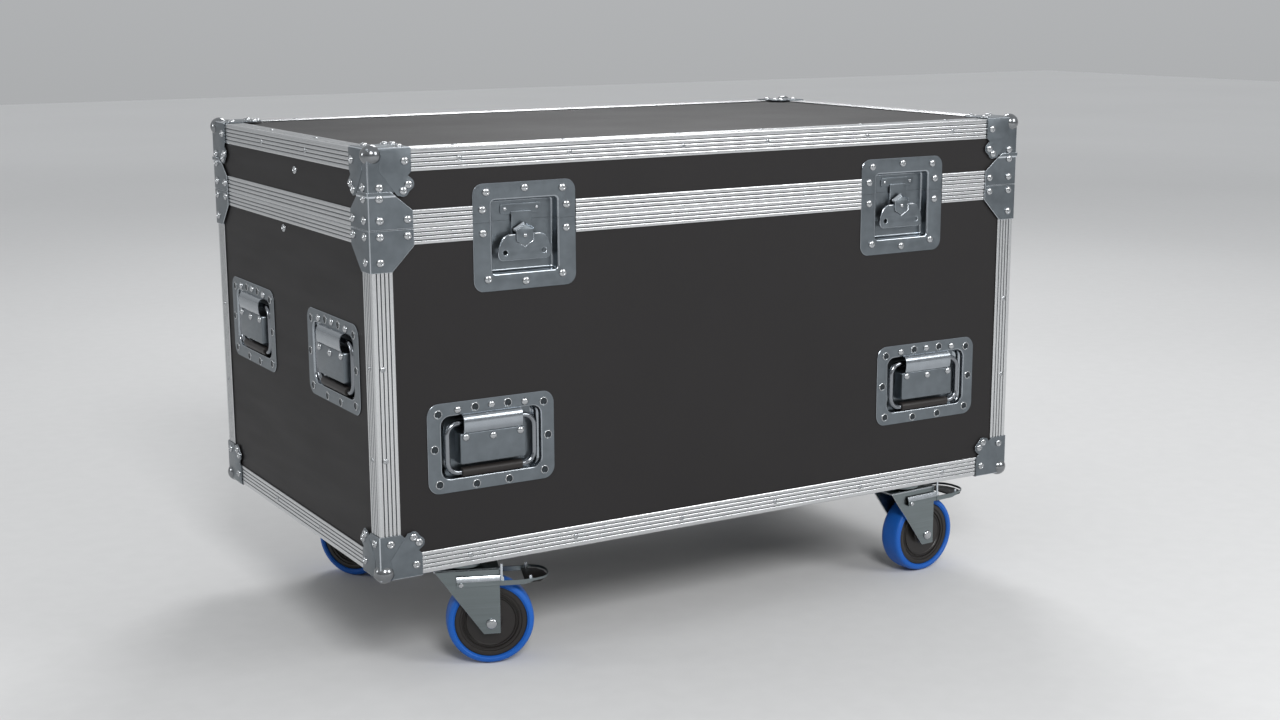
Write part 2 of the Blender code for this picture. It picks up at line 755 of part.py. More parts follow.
def cover_side(side):
    """One closed end of the cover, with the hole that the bail's bar turns in."""
    line = cover_line(COVER_SHEET / 2)
    rooted = line[-1][0]
    outline = line + [(rooted, line[0][1])]
    hole = arc((BAIL_DEPTH, BAIL_RISE), BAIL_WIRE + SLIDE_GAP, 5, 320, 7)
    ends = sorted(side * (COVER_WIDTH / 2 - inset) for inset in (GAP, GAP + COVER_SHEET))
    return prism(f"cover_side_{side}", "YZ", *ends, outline, hole)


def bail_mesh():
    """Closed wire loop, hung from its upper bar, with a sleeve on the lower one."""
    curve = bpy.data.curves.new("bail", "CURVE")
    curve.dimensions = "3D"
    curve.bevel_depth = BAIL_WIRE
    curve.bevel_resolution = 2
    loop = rounded((-BAIL_WIDTH / 2, -BAIL_HEIGHT), (BAIL_WIDTH / 2, 0.0), BAIL_ROUND)
    spline = curve.splines.new("POLY")
    spline.points.add(len(loop) - 1)
    for point, (x, z) in zip(spline.points, loop):
        point.co = (x, 0.0, z, 1.0)
    spline.use_cyclic_u = True
    carrier = bpy.data.objects.new("bail", curve)
    cutters.objects.link(carrier)
    bail = helper("bail", bake(carrier))
    half = GRIP_LENGTH / 2
    join(bail, rod("grip", "X", -half, half, (0, 0, -BAIL_HEIGHT), GRIP_RADIUS, 12))
    return bake(bail)


def make_handles():
    dish = handle_dish_mesh()
    bail = bail_mesh()
    for name, place in handle_places():
        piece(f"{name}_dish", dish, ZINC, place)
        hang = place @ Matrix.Translation((0, BAIL_DEPTH, BAIL_RISE))
        piece(f"{name}_bail", bail, WIRE, hang)


# Latches
def latch_dish(name, up):
    """The half of the latch dish above or below the lid line, with its part of the recess."""
    low, high = (RIM_FACE, LATCH_TOP) if up else (-LATCH_BOTTOM, -RIM_FACE)
    half = LATCH_WIDTH / 2
    whole = rounded((-half, -LATCH_BOTTOM), (half, LATCH_TOP), LATCH_ROUND)
    flange = [point for point in whole if low <= point[1] <= high]
    if up:
        flange = [(half, low)] + flange + [(-half, low)]
    else:
        right = [point for point in flange if point[0] > 0]
        left = [point for point in flange if point[0] < 0]
        flange = left + right + [(half, high), (-half, high)]
    dish = prism(name, "XZ", DISH_FACE, DISH_BACK, flange)
    in_x = RECESS_WIDTH / 2
    in_low, in_high = (low, RECESS_TOP) if up else (-RECESS_BOTTOM, high)
    wall_low = low if up else in_low - DISH_SHEET
    wall_high = in_high + DISH_SHEET if up else high
    wall_x = in_x + DISH_SHEET
    mid = (DISH_FACE + DISH_BACK) / 2
    join(dish, box(f"{name}_wall", (-wall_x, mid, wall_low), (wall_x, POCKET_BACK, wall_high)))
    open_low = in_low - EDGE_LEG if up else in_low
    open_high = in_high if up else in_high + EDGE_LEG
    inside = box(f"{name}_inside", (-in_x, -SKIN, open_low), (in_x, POCKET_FLOOR, open_high))
    return cut(dish, inside)


def keeper():
    """Bridge on the lid's half of the recess that the hook slides behind."""
    rest = POCKET_FLOOR - KEEPER_SHEET * 0.9
    clear = POCKET_FLOOR - SLIDE_GAP - HOOK_SHEET - 2 * SLIDE_GAP - KEEPER_SHEET
    foot = HOOK_WIDTH / 2 + 2 * KEEPER_SLACK
    arch = HOOK_WIDTH / 2 + KEEPER_SLACK
    half = KEEPER_WIDTH / 2
    thick = KEEPER_SHEET
    outline = [
        (-half, rest),
        (-foot, rest),
        (-arch, clear),
        (arch, clear),
        (foot, rest),
        (half, rest),
        (half, rest + thick),
        (foot - thick / 2, rest + thick),
        (arch - thick / 2, clear + thick),
        (-arch + thick / 2, clear + thick),
        (-foot + thick / 2, rest + thick),
        (-half, rest + thick),
    ]
    return prism("keeper", "XY", KEEPER_LOW, KEEPER_HIGH, outline)


def latch_hook():
    """Flat strip between the spindle and the keeper, slotted for the spindle's shaft."""
    back = POCKET_FLOOR - SLIDE_GAP
    half = HOOK_WIDTH / 2
    clear = SHAFT_RADIUS + SLIDE_GAP
    outline = rounded((-half, -HOOK_BOTTOM), (half, HOOK_TOP), HOOK_ROUND, 1)
    slot_low = -SPINDLE_DROP - clear - HOOK_TRAVEL
    slot = rounded((-clear, slot_low), (clear, -SPINDLE_DROP + clear), clear * 0.6, 2)
    return prism("hook", "XZ", back - HOOK_SHEET, back, outline, slot[::-1])


def spindle():
    """Six-sided boss on a round shaft, bored across for the wing's pin. Its axis is at X and Z zero."""
    profile = [
        (0.0, -BOSS_FRONT),
        (BOSS_RADIUS - BOSS_BEVEL, -BOSS_FRONT),
        (BOSS_RADIUS, -BOSS_FRONT - BOSS_BEVEL),
        (BOSS_RADIUS, -BOSS_BACK),
        (0.0, -BOSS_BACK),
    ]
    boss = turned("boss", profile, 6)
    boss.data.transform(AXES["Y"] @ Matrix.Rotation(math.pi / 6, 4, "Z"))
    centre = (0, 0, 0)
    join(boss, rod("shaft", "Y", BOSS_BACK - SKIN, POCKET_BACK + PLATE, centre, SHAFT_RADIUS, 14))
    bore = WING_PIN_RADIUS + SLIDE_GAP
    cut(boss, rod("bore", "X", -HOOK_WIDTH, HOOK_WIDTH, (0, WING_PIN_DEPTH, 0), bore, 10))
    return boss


def wing():
    """Bell-shaped plate that folds out on a pin through the boss. The pin lies at Y and Z zero."""
    flat = BOSS_RADIUS * math.cos(math.pi / 6) + BOSS_CLEARANCE
    point = BOSS_RADIUS + BOSS_CLEARANCE / math.cos(math.pi / 6)
    left = [
        (-flat, -point / 2),
        (-flat, WING_RISE),
        (-WING_SHOULDER, WING_RISE),
        (-WING_SHOULDER * 1.2, 0.0),
        (-WING_HALF * 0.93, -WING_DROP * 0.28),
        (-WING_HALF, -WING_DROP * 0.62),
        (-WING_HALF * 0.98, -WING_DROP * 0.80),
        (-WING_HALF * 0.91, -WING_DROP * 0.93),
        (-WING_HALF * 0.80, -WING_DROP),
    ]
    right = [(-x, z) for x, z in reversed(left)]
    outline = [(0.0, -point)] + left + right
    holes = []
    for side in (-1, 1):
        centre = (side * WING_HOLE_X, -WING_HOLE_DROP)
        holes.append(arc(centre, WING_HOLE_RADIUS, 9 * side, 9 * side + 315, 7))
    half = WING_SHEET / 2
    plate = prism("wing", "XZ", -half, half, outline, *holes)
    pin = rod("wing_pin", "X", -WING_SHOULDER * 0.8, WING_SHOULDER * 0.8, (0, 0, 0), WING_PIN_RADIUS, 8)
    return join(plate, pin)


def make_latches():
    lid_dish = latch_dish("lid_dish", True)
    join(lid_dish, keeper())
    lid_mesh = bake(lid_dish)
    body_dish = latch_dish("body_dish", False)
    hole_place = (0, 0, -SPINDLE_DROP)
    hole_radius = SHAFT_RADIUS + SLIDE_GAP
    ends = (POCKET_FLOOR - SKIN, POCKET_BACK + SKIN)
    cut(body_dish, rod("shaft_hole", "Y", *ends, hole_place, hole_radius, 14))
    body_mesh = bake(body_dish)
    hook_mesh = bake(latch_hook())
    spindle_mesh = bake(spindle())
    wing_mesh = bake(wing())
    for name, along in LATCHES.items():
        place = on_face("front", along, LID_LINE)
        turn = place @ Matrix.Translation((0, 0, -SPINDLE_DROP))
        fold = turn @ Matrix.Translation((0, WING_PIN_DEPTH, 0))
        piece(f"{name}_lid_dish", lid_mesh, ZINC, place)
        piece(f"{name}_body_dish", body_mesh, ZINC, place)
        piece(f"{name}_hook", hook_mesh, ZINC, place)
        piece(f"{name}_spindle", spindle_mesh, ZINC, turn)
        piece(f"{name}_wing", wing_mesh, ZINC, fold)


# Hinges
def hinge_leaf(name, up, with_pin):
    """Leaf with its knuckles about the X axis. The pin is fixed in the body's leaf."""
    side = 1 if up else -1
    inner = -HINGE_AXIS - GAP
    clear = KNUCKLE_RADIUS + 2 * GAP
    half = HINGE_WIDTH / 2
    low, high = sorted((side * clear, side * (clear + LEAF_HEIGHT - SKIN)))
    leaf = box(name, (-half, inner - HINGE_LEAF, low), (half, inner, high))
    pitch = HINGE_WIDTH / HINGE_KNUCKLES
    first = 1 if up else 0
    for index in range(first, HINGE_KNUCKLES, 2):
        start = -half + index * pitch + GAP
        end = start + pitch - 2 * GAP
        knuckle = rod(f"{name}_knuckle_{index}", "X", start, end, (0, 0, 0), KNUCKLE_RADIUS, 10)
        web_low, web_high = sorted((0.0, side * (clear + GAP)))
        corner = (start, inner - HINGE_LEAF + GAP / 2, web_low)
        web = box(f"{name}_web_{index}", corner, (end, inner - GAP / 2, web_high))
        join(leaf, knuckle, web)
    if with_pin:
        reach = half - pitch / 2
        join(leaf, rod(f"{name}_pin", "X", -reach, reach, (0, 0, 0), HINGE_PIN_RADIUS, 8))
    else:
        bore = HINGE_PIN_RADIUS + GAP
        cut(leaf, rod(f"{name}_bore", "X", -half, half, (0, 0, 0), bore, 10))
    return bake(leaf)


def make_hinges():
    lid_leaf = hinge_leaf("lid_leaf", True, False)
    body_leaf = hinge_leaf("body_leaf", False, True)
    for name, along in (("left", HINGE_X), ("right", -HINGE_X)):
        place = on_face("back", along, LID_LINE) @ Matrix.Translation((0, HINGE_AXIS, 0))
        piece(f"{name}_hinge_lid_leaf", lid_leaf, ZINC, place)
        piece(f"{name}_hinge_body_leaf", body_leaf, ZINC, place)


# Casters
def mount_plate_mesh():
    """Plate bolted under the floor, with the upper race of the swivel bearing.

    Z zero is the case's underside.
    """
    top = PANEL_FACE - GAP
    low = top - MOUNT_PLATE_SHEET
    half = (MOUNT_PLATE_LENGTH / 2, MOUNT_PLATE_WIDTH / 2)
    outline = rounded((-half[0], -half[1]), half, 0.006, 2)
    holes = []
    for side_x in (-1, 1):
        for side_y in (-1, 1):
            centre = (side_x * BOLT_SPACING_X / 2, side_y * BOLT_SPACING_Y / 2)
            holes.append(arc(centre, BOLT_HOLE, 7 * side_x + 3 * side_y, 7 * side_x + 3 * side_y + 300, 5))
    plate = prism("mount_plate", "XY", low, top, outline, *holes)
    bore = KINGPIN_RADIUS + GAP
    race = [
        (RACE_RADIUS * 0.94, low + GAP),
        (RACE_RADIUS, low - RACE_DROP / 3),
        (RACE_RADIUS * 0.86, low - RACE_DROP),
        (bore, low - RACE_DROP),
        (bore, low + GAP),
    ]
    join(plate, turned("upper_race", race, 16, closed=True))
    cut(plate, rod("kingpin_bore", "Z", low - RACE_DROP, top + SKIN, (0, 0, 0), bore, 16))
    return bake(plate)


def fork_mesh(braked):
    """Side plates under a crown, lower race, kingpin and axle, and the brake's pins if it has one.

    Z zero is the case's underside.
    """
    axle = -AXLE_DROP
    top = axle + FORK_TOP
    half = FORK_INSIDE / 2
    out = half + FORK_SHEET
    side = [
        (TRAIL - FORK_BACK, top),
        (TRAIL - FORK_FOOT_BACK, axle - FORK_FOOT),
        (TRAIL + FORK_FRONT, axle - FORK_FOOT),
        (TRAIL + FORK_FRONT, top),
    ]
    fork = prism("fork", "XZ", -out, out, side)
    room_low = (TRAIL - 2 * FORK_BACK, -half, axle - 2 * FORK_FOOT)
    room_high = (TRAIL + 2 * FORK_FRONT, half, top - FORK_SHEET)
    cut(fork, box("fork_room", room_low, room_high))
    plate_low = PANEL_FACE - GAP - MOUNT_PLATE_SHEET
    race_top = plate_low - RACE_DROP - GAP
    race = [
        (0.0, race_top),
        (RACE_RADIUS * 0.84, race_top),
        (RACE_RADIUS * 0.92, race_top - SKIN),
        (RACE_RADIUS * 0.72, top - FORK_SHEET / 2),
        (0.0, top - FORK_SHEET / 2),
    ]
    join(fork, turned("lower_race", race, 16))
    join(fork, rod("kingpin", "Z", race_top - SKIN, PANEL_FACE - 2 * GAP, (0, 0, 0), KINGPIN_RADIUS, 12))
    head = out + FORK_SHEET
    centre = (TRAIL, 0, axle)
    join(fork, rod("axle", "Y", -head, head, centre, AXLE_RADIUS, 12))
    for number, (low, high) in enumerate(((-head - SKIN, -out + GAP), (out - GAP, head + SKIN))):
        join(fork, rod(f"axle_head_{number}", "Y", low, high, centre, AXLE_HEAD, 8))
    if braked:
        pin_place = (TRAIL - BRAKE_PIN_BACK, 0, axle + BRAKE_PIN_RISE)
        pin_end = out + GAP + BRAKE_OUT + SKIN / 2
        for number, (low, high) in enumerate(((-pin_end, -out + GAP), (out - GAP, pin_end))):
            join(fork, rod(f"brake_pin_{number}", "Y", low, high, pin_place, BRAKE_PIN_RADIUS, 10))
    return bake(fork)


def wheel_mesh():
    """Tyre, ringed hub and bore, turned about Y."""
    half = WHEEL_WIDTH / 2
    side = [
        (AXLE_RADIUS + SLIDE_GAP, HUB_WIDTH / 2),
        (HUB_RADIUS, HUB_WIDTH / 2),
        (HUB_RADIUS + SKIN, half * 0.66),
        (WHEEL_RADIUS * 0.58, half * 0.66),
        (WHEEL_RADIUS - TREAD, half),
        (WHEEL_RADIUS, half * 0.70),
    ]
    other = [(radius, -height) for radius, height in reversed(side)]
    wheel = turned("wheel", side + other, WHEEL_STEPS, closed=True)
    flat_down = Matrix.Rotation(math.pi / WHEEL_STEPS, 4, "Z")
    wheel.data.transform(AXES["Y"] @ flat_down)
    return bake(wheel)


def brake_mesh():
    """Lever with an arm outside each side of the fork and a pedal. Its pin is at X and Z zero."""
    inner = FORK_INSIDE / 2 + FORK_SHEET + GAP
    outer = inner + BRAKE_OUT
    pin_x = -BRAKE_PIN_BACK
    pin_z = BRAKE_PIN_RISE
    low, shoulder, high = BRAKE_LOW - pin_z, BRAKE_SHOULDER - pin_z, BRAKE_HIGH - pin_z
    arm = [(inner, low), (outer, low), (outer, shoulder), (inner, high)]
    front = BRAKE_FRONT - pin_x
    lever = prism("arm", "YZ", -BRAKE_BACK - pin_x, front, arm)
    mirrored = [(-depth, height) for depth, height in reversed(arm)]
    other = prism("other_arm", "YZ", -BRAKE_BACK - pin_x, front, mirrored)
    tip = PEDAL_TIP - pin_x
    tongue = [
        (front - BRAKE_OUT - PEDAL_SHEET, outer - SKIN),
        (front - BRAKE_OUT - PEDAL_SHEET, -outer + SKIN),
        (front + SKIN, -outer + SKIN),
        (tip, -PEDAL_TIP_HALF),
        (tip, PEDAL_TIP_HALF),
        (front + SKIN, outer - SKIN),
    ]
    pedal = prism("pedal", "XY", low + SKIN, low + SKIN + PEDAL_SHEET, tongue)
    join(lever, pedal, other)
    bore = BRAKE_PIN_RADIUS + GAP
    return bake(cut(lever, rod("pin_bore", "Y", -2 * outer, 2 * outer, (0, 0, 0), bore, 10)))


def make_casters():
    plate, wheel, brake = mount_plate_mesh(), wheel_mesh(), brake_mesh()
    forks = {-1: fork_mesh(True), 1: fork_mesh(False)}
    for name, (side_x, side_y) in CORNERS.items():
        x = side_x * (CASE_LENGTH / 2 - SWIVEL_END_INSET)
        y = side_y * (CASE_DEPTH / 2 - SWIVEL_SIDE_INSET)
        under = Matrix.Translation((x, y, CASE_BOTTOM))
        turn = under @ Matrix.Rotation(CASTER_TURNS[name], 4, "Z")
        axle = turn @ Matrix.Translation((TRAIL, 0, -AXLE_DROP))
        piece(f"{name}_caster_plate", plate, ZINC, under)
        piece(f"{name}_caster_fork", forks[side_y], FORK, turn)
        piece(f"{name}_caster_wheel", wheel, WHEEL, axle)
        if side_y < 0:
            pin = axle @ Matrix.Translation((-BRAKE_PIN_BACK, 0, BRAKE_PIN_RISE))
            piece(f"{name}_brake", brake, FORK, pin)


def shade_round_pieces():
    """Smooth shading where faces meet at a shallow angle."""
    for mesh in {obj.data for obj in parts.objects}:
        mesh.shade_smooth()
        mesh.set_sharp_from_angle(angle=math.radians(30))


make_panels()
make_frames()
make_ball_corners()
make_handles()
make_latches()
make_hinges()
make_casters()
shade_round_pieces()
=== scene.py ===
"""Flight case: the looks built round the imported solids."""

import json
import math

import bmesh
import bpy
import numpy as np
from mathutils import Matrix, Vector


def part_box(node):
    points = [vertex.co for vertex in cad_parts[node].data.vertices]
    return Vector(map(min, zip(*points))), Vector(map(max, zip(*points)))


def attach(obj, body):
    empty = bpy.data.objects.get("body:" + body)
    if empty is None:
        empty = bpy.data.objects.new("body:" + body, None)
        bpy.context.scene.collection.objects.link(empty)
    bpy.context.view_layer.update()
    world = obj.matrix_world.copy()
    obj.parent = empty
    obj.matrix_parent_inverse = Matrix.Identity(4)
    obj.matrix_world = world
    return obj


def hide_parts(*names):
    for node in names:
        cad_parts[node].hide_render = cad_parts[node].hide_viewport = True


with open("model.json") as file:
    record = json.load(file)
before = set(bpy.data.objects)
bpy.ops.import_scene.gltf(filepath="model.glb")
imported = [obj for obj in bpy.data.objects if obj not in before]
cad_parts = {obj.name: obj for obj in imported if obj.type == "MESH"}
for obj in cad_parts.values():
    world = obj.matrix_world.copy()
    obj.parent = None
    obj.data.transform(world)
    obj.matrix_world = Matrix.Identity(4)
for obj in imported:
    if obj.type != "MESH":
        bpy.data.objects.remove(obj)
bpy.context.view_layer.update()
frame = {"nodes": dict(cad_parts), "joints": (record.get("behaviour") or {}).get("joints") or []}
scene = bpy.context.scene

# Levels and sizes read from the solids, and the gap from the lid line to each rim
body_low, body_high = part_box("body_edge_frame")
HALF_X = body_high.x
HALF_Y = body_high.y
CASE_BOTTOM = body_low.z
CASE_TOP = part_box("lid_edge_frame")[1].z
RIM_GAP = 0.0003
LID_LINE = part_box("lid_rim_strip")[0].z - RIM_GAP

# Sheet and extrusion sizes
LEG = 0.030
SKIN = 0.0018
LIP_FACE = 0.0114
LIP_BACK = 0.0130
LID_RIM = 0.0235
BODY_RIM = 0.0215
RIDGE_DEPTH = 0.0013
VALLEY_DIP = 0.0007
DISH_BACK = 0.0018
DISH_FACE = 0.0006
SPLIT = 0.00014
POCKET_FLOOR = 0.0146
POCKET_BACK = 0.0158
PLATE_FACE = -0.0018
PLATE_BACK = -0.0003

# Turns: pieces are drawn pointing up Z. XZ and YZ lay a flat outline into those planes.
OUT = Matrix.Rotation(math.pi / 2, 4, "X")
INWARDS = Matrix.Rotation(-math.pi / 2, 4, "X")
DOWN = Matrix.Rotation(math.pi, 4, "X")
OVER = Matrix.Rotation(math.pi, 4, Vector((1, 1, 0)))
TURNS = {"front": 0.0, "right": math.pi / 2, "back": math.pi, "left": -math.pi / 2}
CORNERS = {
    "front_left": (-1, -1),
    "front_right": (1, -1),
    "back_right": (1, 1),
    "back_left": (-1, 1),
}
XZ = Matrix(((1, 0, 0, 0), (0, 0, 1, 0), (0, 1, 0, 0), (0, 0, 0, 1)))
YZ = Matrix(((0, 0, 1, 0), (1, 0, 0, 0), (0, 1, 0, 0), (0, 0, 0, 1)))


def at(x=0.0, y=0.0, z=0.0):
    return Matrix.Translation((x, y, z))


def on_face(face, along, height):
    """Frame of a fitting on a side: X along the side, Y into the case, Z up."""
    half = HALF_Y if face in ("front", "back") else HALF_X
    return Matrix.Rotation(TURNS[face], 4, "Z") @ at(along, -half, height)


def at_corner(side_x, side_y, height, upside_down=False):
    """Frame of a fitting at a vertical edge, X and Y pointing into the case."""
    turn = {(-1, -1): 0, (1, -1): 90, (1, 1): 180, (-1, 1): 270}[(side_x, side_y)]
    place = at(side_x * HALF_X, side_y * HALF_Y, height)
    place = place @ Matrix.Rotation(math.radians(turn), 4, "Z")
    if upside_down:
        place = place @ OVER
    return place


def on(place, depth, spots):
    """Places for rivets on a face at a depth, each pointing out of it."""
    return [place @ at(x, depth, z) @ OUT for x, z in spots]


# Finishes
def add_node(tree, kind, values=None, **settings):
    """A shader node with constants at its inputs."""
    node = tree.nodes.new(kind)
    for key, value in settings.items():
        setattr(node, key, value)
    for socket, value in (values or {}).items():
        node.inputs[socket].default_value = value
    return node


class Finish:
    """A procedural material, built node by node."""

    def __init__(self, name):
        self.made = bpy.data.materials.new(name)
        self.made.use_nodes = True
        self.tree = self.made.node_tree
        self.links = self.tree.links
        self.shader = self.tree.nodes["Principled BSDF"]
        self.place = add_node(self.tree, "ShaderNodeTexCoord").outputs["Object"]

    def noise(self, scale, detail, stretch=(1, 1, 1)):
        mapping = add_node(self.tree, "ShaderNodeMapping", {"Scale": stretch})
        self.links.new(self.place, mapping.inputs["Vector"])
        node = add_node(self.tree, "ShaderNodeTexNoise", {"Scale": scale, "Detail": detail})
        self.links.new(mapping.outputs["Vector"], node.inputs["Vector"])
        return node.outputs["Fac"]

    def spread(self, value, low, high, near=0.3, far=0.7):
        """Takes what lies between near and far to between low and high."""
        ends = {"From Min": near, "From Max": far, "To Min": low, "To Max": high}
        node = add_node(self.tree, "ShaderNodeMapRange", ends)
        self.links.new(value, node.inputs["Value"])
        return node.outputs["Result"]

    def sum(self, *values):
        total = values[0]
        for value in values[1:]:
            node = add_node(self.tree, "ShaderNodeMath", operation="ADD")
            self.links.new(total, node.inputs[0])
            self.links.new(value, node.inputs[1])
            total = node.outputs["Value"]
        return total

    def tint(self, colour, *values):
        """Base colour times the sum of the values."""
        total = self.sum(*values)
        node = add_node(self.tree, "ShaderNodeVectorMath", {0: colour}, operation="SCALE")
        self.links.new(total, node.inputs["Scale"])
        self.links.new(node.outputs["Vector"], self.shader.inputs["Base Color"])

    def rough(self, *values):
        """Roughness: the sum of the values."""
        self.links.new(self.sum(*values), self.shader.inputs["Roughness"])

    def bump(self, value, distance, strength):
        node = add_node(self.tree, "ShaderNodeBump", {"Distance": distance, "Strength": strength})
        self.links.new(value, node.inputs["Height"])
        self.links.new(node.outputs["Normal"], self.shader.inputs["Normal"])

    def metal(self):
        self.shader.inputs["Metallic"].default_value = 1.0
        return self.made

    def shine(self, value):
        self.shader.inputs["Specular IOR Level"].default_value = value
        return self.made


def laminate(name, colour):
    """Dark sheet with a fine grain, faint streaks and a low shine."""
    made = Finish(name)
    grain = made.noise(1400.0, 2.0)
    cloud = made.noise(5.0, 4.0)
    streak = made.noise(40.0, 3.0, (0.15, 0.15, 1.0))
    made.tint(colour, made.spread(grain, 0.40, 0.56), made.spread(cloud, 0.46, 0.54))
    made.rough(made.spread(grain, 0.20, 0.34), made.spread(streak, 0.20, 0.26))
    made.bump(grain, 0.00025, 0.30)
    return made.shine(0.15)


def brushed(name, colour, rough, wear=0.04, bands=0.02):
    """Drawn metal: fine lines along the piece's X axis, with broader bands and a slow change of tone."""
    made = Finish(name)
    lines = made.noise(2600.0, 2.0, (0.006, 1, 1))
    broad = made.noise(240.0, 3.0, (0.03, 1, 1))
    cloud = made.noise(9.0, 4.0)
    made.tint(
        colour,
        made.spread(lines, 0.34 - wear, 0.34 + wear),
        made.spread(broad, 0.33 - bands, 0.33 + bands),
        made.spread(cloud, 0.31, 0.35),
    )
    made.rough(made.spread(lines, rough * 0.40, rough * 0.56), made.spread(broad, rough * 0.46, rough * 0.58))
    made.bump(lines, 0.00002, 0.2)
    return made.metal()


def plated(name, colour, rough, spangle=60.0, wear=0.05):
    """Zinc-plated sheet: cloudy tone, faint spangle and fine rolling lines."""
    made = Finish(name)
    cloud = made.noise(spangle, 4.0)
    slow = made.noise(8.0, 3.0)
    lines = made.noise(500.0, 2.0, (0.06, 1, 1))
    made.tint(colour, made.spread(cloud, 0.5 - wear, 0.5 + wear), made.spread(slow, 0.46, 0.54))
    made.rough(made.spread(cloud, rough * 0.42, rough * 0.56), made.spread(lines, rough * 0.44, rough * 0.58))
    made.bump(lines, 0.00006, 0.25)
    return made.metal()


def polished(name, colour, rough):
    """Bright metal with a faint haze and fine scratches."""
    made = Finish(name)
    haze = made.noise(160.0, 3.0)
    scratch = made.noise(700.0, 2.0, (1, 0.1, 1))
    made.tint(colour, made.spread(haze, 0.47, 0.52), made.spread(scratch, 0.47, 0.53))
    made.rough(made.spread(haze, rough * 0.4, rough * 0.6), made.spread(scratch, rough * 0.4, rough * 0.6))
    return made.metal()


def rubber(name, colour, rough, scale=600.0, shine=0.35):
    """Rubber or plastic with a fine grain."""
    made = Finish(name)
    fine = made.noise(scale, 3.0)
    slow = made.noise(20.0, 3.0)
    made.tint(colour, made.spread(fine, 0.44, 0.56), made.spread(slow, 0.46, 0.54))
    made.rough(made.spread(fine, rough * 0.45, rough * 0.55), made.spread(slow, rough * 0.45, rough * 0.55))
    made.bump(fine, 0.0001, 0.3)
    return made.shine(shine)


LAMINATE = laminate("dark_laminate_face", (0.0218, 0.0206, 0.0210))
ALUMINIUM = brushed("drawn_aluminium", (0.60, 0.61, 0.62), 0.26)
# Darker aluminium for the faces deep in the ridges' valleys: painted shade in the grooves.
VALLEY_SHADE = brushed("drawn_aluminium_painted_valley_shade", (0.105, 0.112, 0.118), 0.42)
ZINC = plated("zinc_sheet", (0.168, 0.190, 0.208), 0.34, wear=0.09)
# Light, shiny zinc for folds, bevelled edges, sloped flanges and small tabs: a painted highlight.
ZINC_EDGE_HIGHLIGHT = polished("zinc_worn_edge", (0.62, 0.66, 0.70), 0.22)
# Lighter copy of the zinc for pocket walls and the handle's tunnel: painted light.
ZINC_PAINTED_LIGHT = plated("zinc_painted_light", (0.36, 0.39, 0.42), 0.20)
BALL = polished("polished_ball", (0.25, 0.26, 0.27), 0.19)
RIVET = polished("rivet_steel", (0.46, 0.475, 0.49), 0.22)
# Dark steel inside the countersunk fasteners: painted shade where their holes are.
SUNK_HOLE_SHADE = polished("sunk_fastener_painted_shade", (0.050, 0.058, 0.064), 0.24)
BRIGHT = polished("bright_wire_face", (0.25, 0.265, 0.285), 0.17)
GRIP = rubber("dark_grip_face", (0.0185, 0.0158, 0.0148), 0.46)
FORK = brushed("zinc_fork_face", (0.205, 0.235, 0.242), 0.32, 0.04, 0.07)
TYRE = rubber("blue_tyre_face", (0.0095, 0.100, 0.420), 0.46, 900.0, 0.30)
PEDAL = rubber("dark_pedal_face", (0.0085, 0.0068, 0.0062), 0.42, 500.0, 0.35)
HUB = rubber("dark_hub_face", (0.0145, 0.0122, 0.0112), 0.36, 500.0, 0.45)


# Shapes
def arc(centre, radius, start, end, count):
    """Points on an arc, angles in degrees."""
    found = []
    for step in range(count + 1):
        angle = math.radians(start + (end - start) * step / count)
        found.append((centre[0] + radius * math.cos(angle), centre[1] + radius * math.sin(angle)))
    return found


def rounded(half_x, low_z, high_z, radius, count):
    """A rectangle with round corners, symmetric in X, counter-clockwise."""
    return (
        arc((half_x - radius, low_z + radius), radius, -90, 0, count)
        + arc((half_x - radius, high_z - radius), radius, 0, 90, count)
        + arc((-half_x + radius, high_z - radius), radius, 90, 180, count)
        + arc((-half_x + radius, low_z + radius), radius, 180, 270, count)
    )


def finished(name, made):
    """A mesh from a bmesh, with its normals outwards and smooth faces."""
    bmesh.ops.remove_doubles(made, verts=made.verts, dist=1e-7)
    bmesh.ops.recalc_face_normals(made, faces=made.faces)
    mesh = bpy.data.meshes.new(name)
    made.to_mesh(mesh)
    made.free()
    return mesh


def lathe(name, profile, steps, closed=False):
    """A profile of radius and height turned about Z."""
    made = bmesh.new()
    rings = []
    for radius, height in profile:
        if radius < 1e-7:
            rings.append([made.verts.new((0, 0, height))])
            continue
        ring = []
        for step in range(steps):
            angle = 2 * math.pi * step / steps
            ring.append(made.verts.new((radius * math.cos(angle), radius * math.sin(angle), height)))
        rings.append(ring)
    pairs = list(zip(rings, rings[1:] + rings[:1] if closed else rings[1:]))
    for first, second in pairs:
        for step in range(steps):
            after = (step + 1) % steps
            corners = [first[step % len(first)], first[after % len(first)]]
            corners += [second[after % len(second)], second[step % len(second)]]
            unique = list(dict.fromkeys(corners))
            if len(unique) > 2:
                made.faces.new(unique)
    return finished(name, made)


def loft(name, rings):
    """Skin over closed rings of as many points each, with a face at both ends."""
    made = bmesh.new()
    rows = [[made.verts.new(point) for point in ring] for ring in rings]
    for first, second in zip(rows, rows[1:]):
        for index in range(len(first)):
            after = (index + 1) % len(first)
            made.faces.new((first[index], first[after], second[after], second[index]))
    made.faces.new(rows[0])
    made.faces.new(rows[-1])
    return finished(name, made)


def evaluated(carrier):
    """The shape of an object after its modifiers. The object has then served and goes."""
    graph = bpy.context.evaluated_depsgraph_get()
    mesh = bpy.data.meshes.new_from_object(carrier.evaluated_get(graph))
    bpy.data.objects.remove(carrier, do_unlink=True)
    made = bmesh.new()
    made.from_mesh(mesh)
    return made


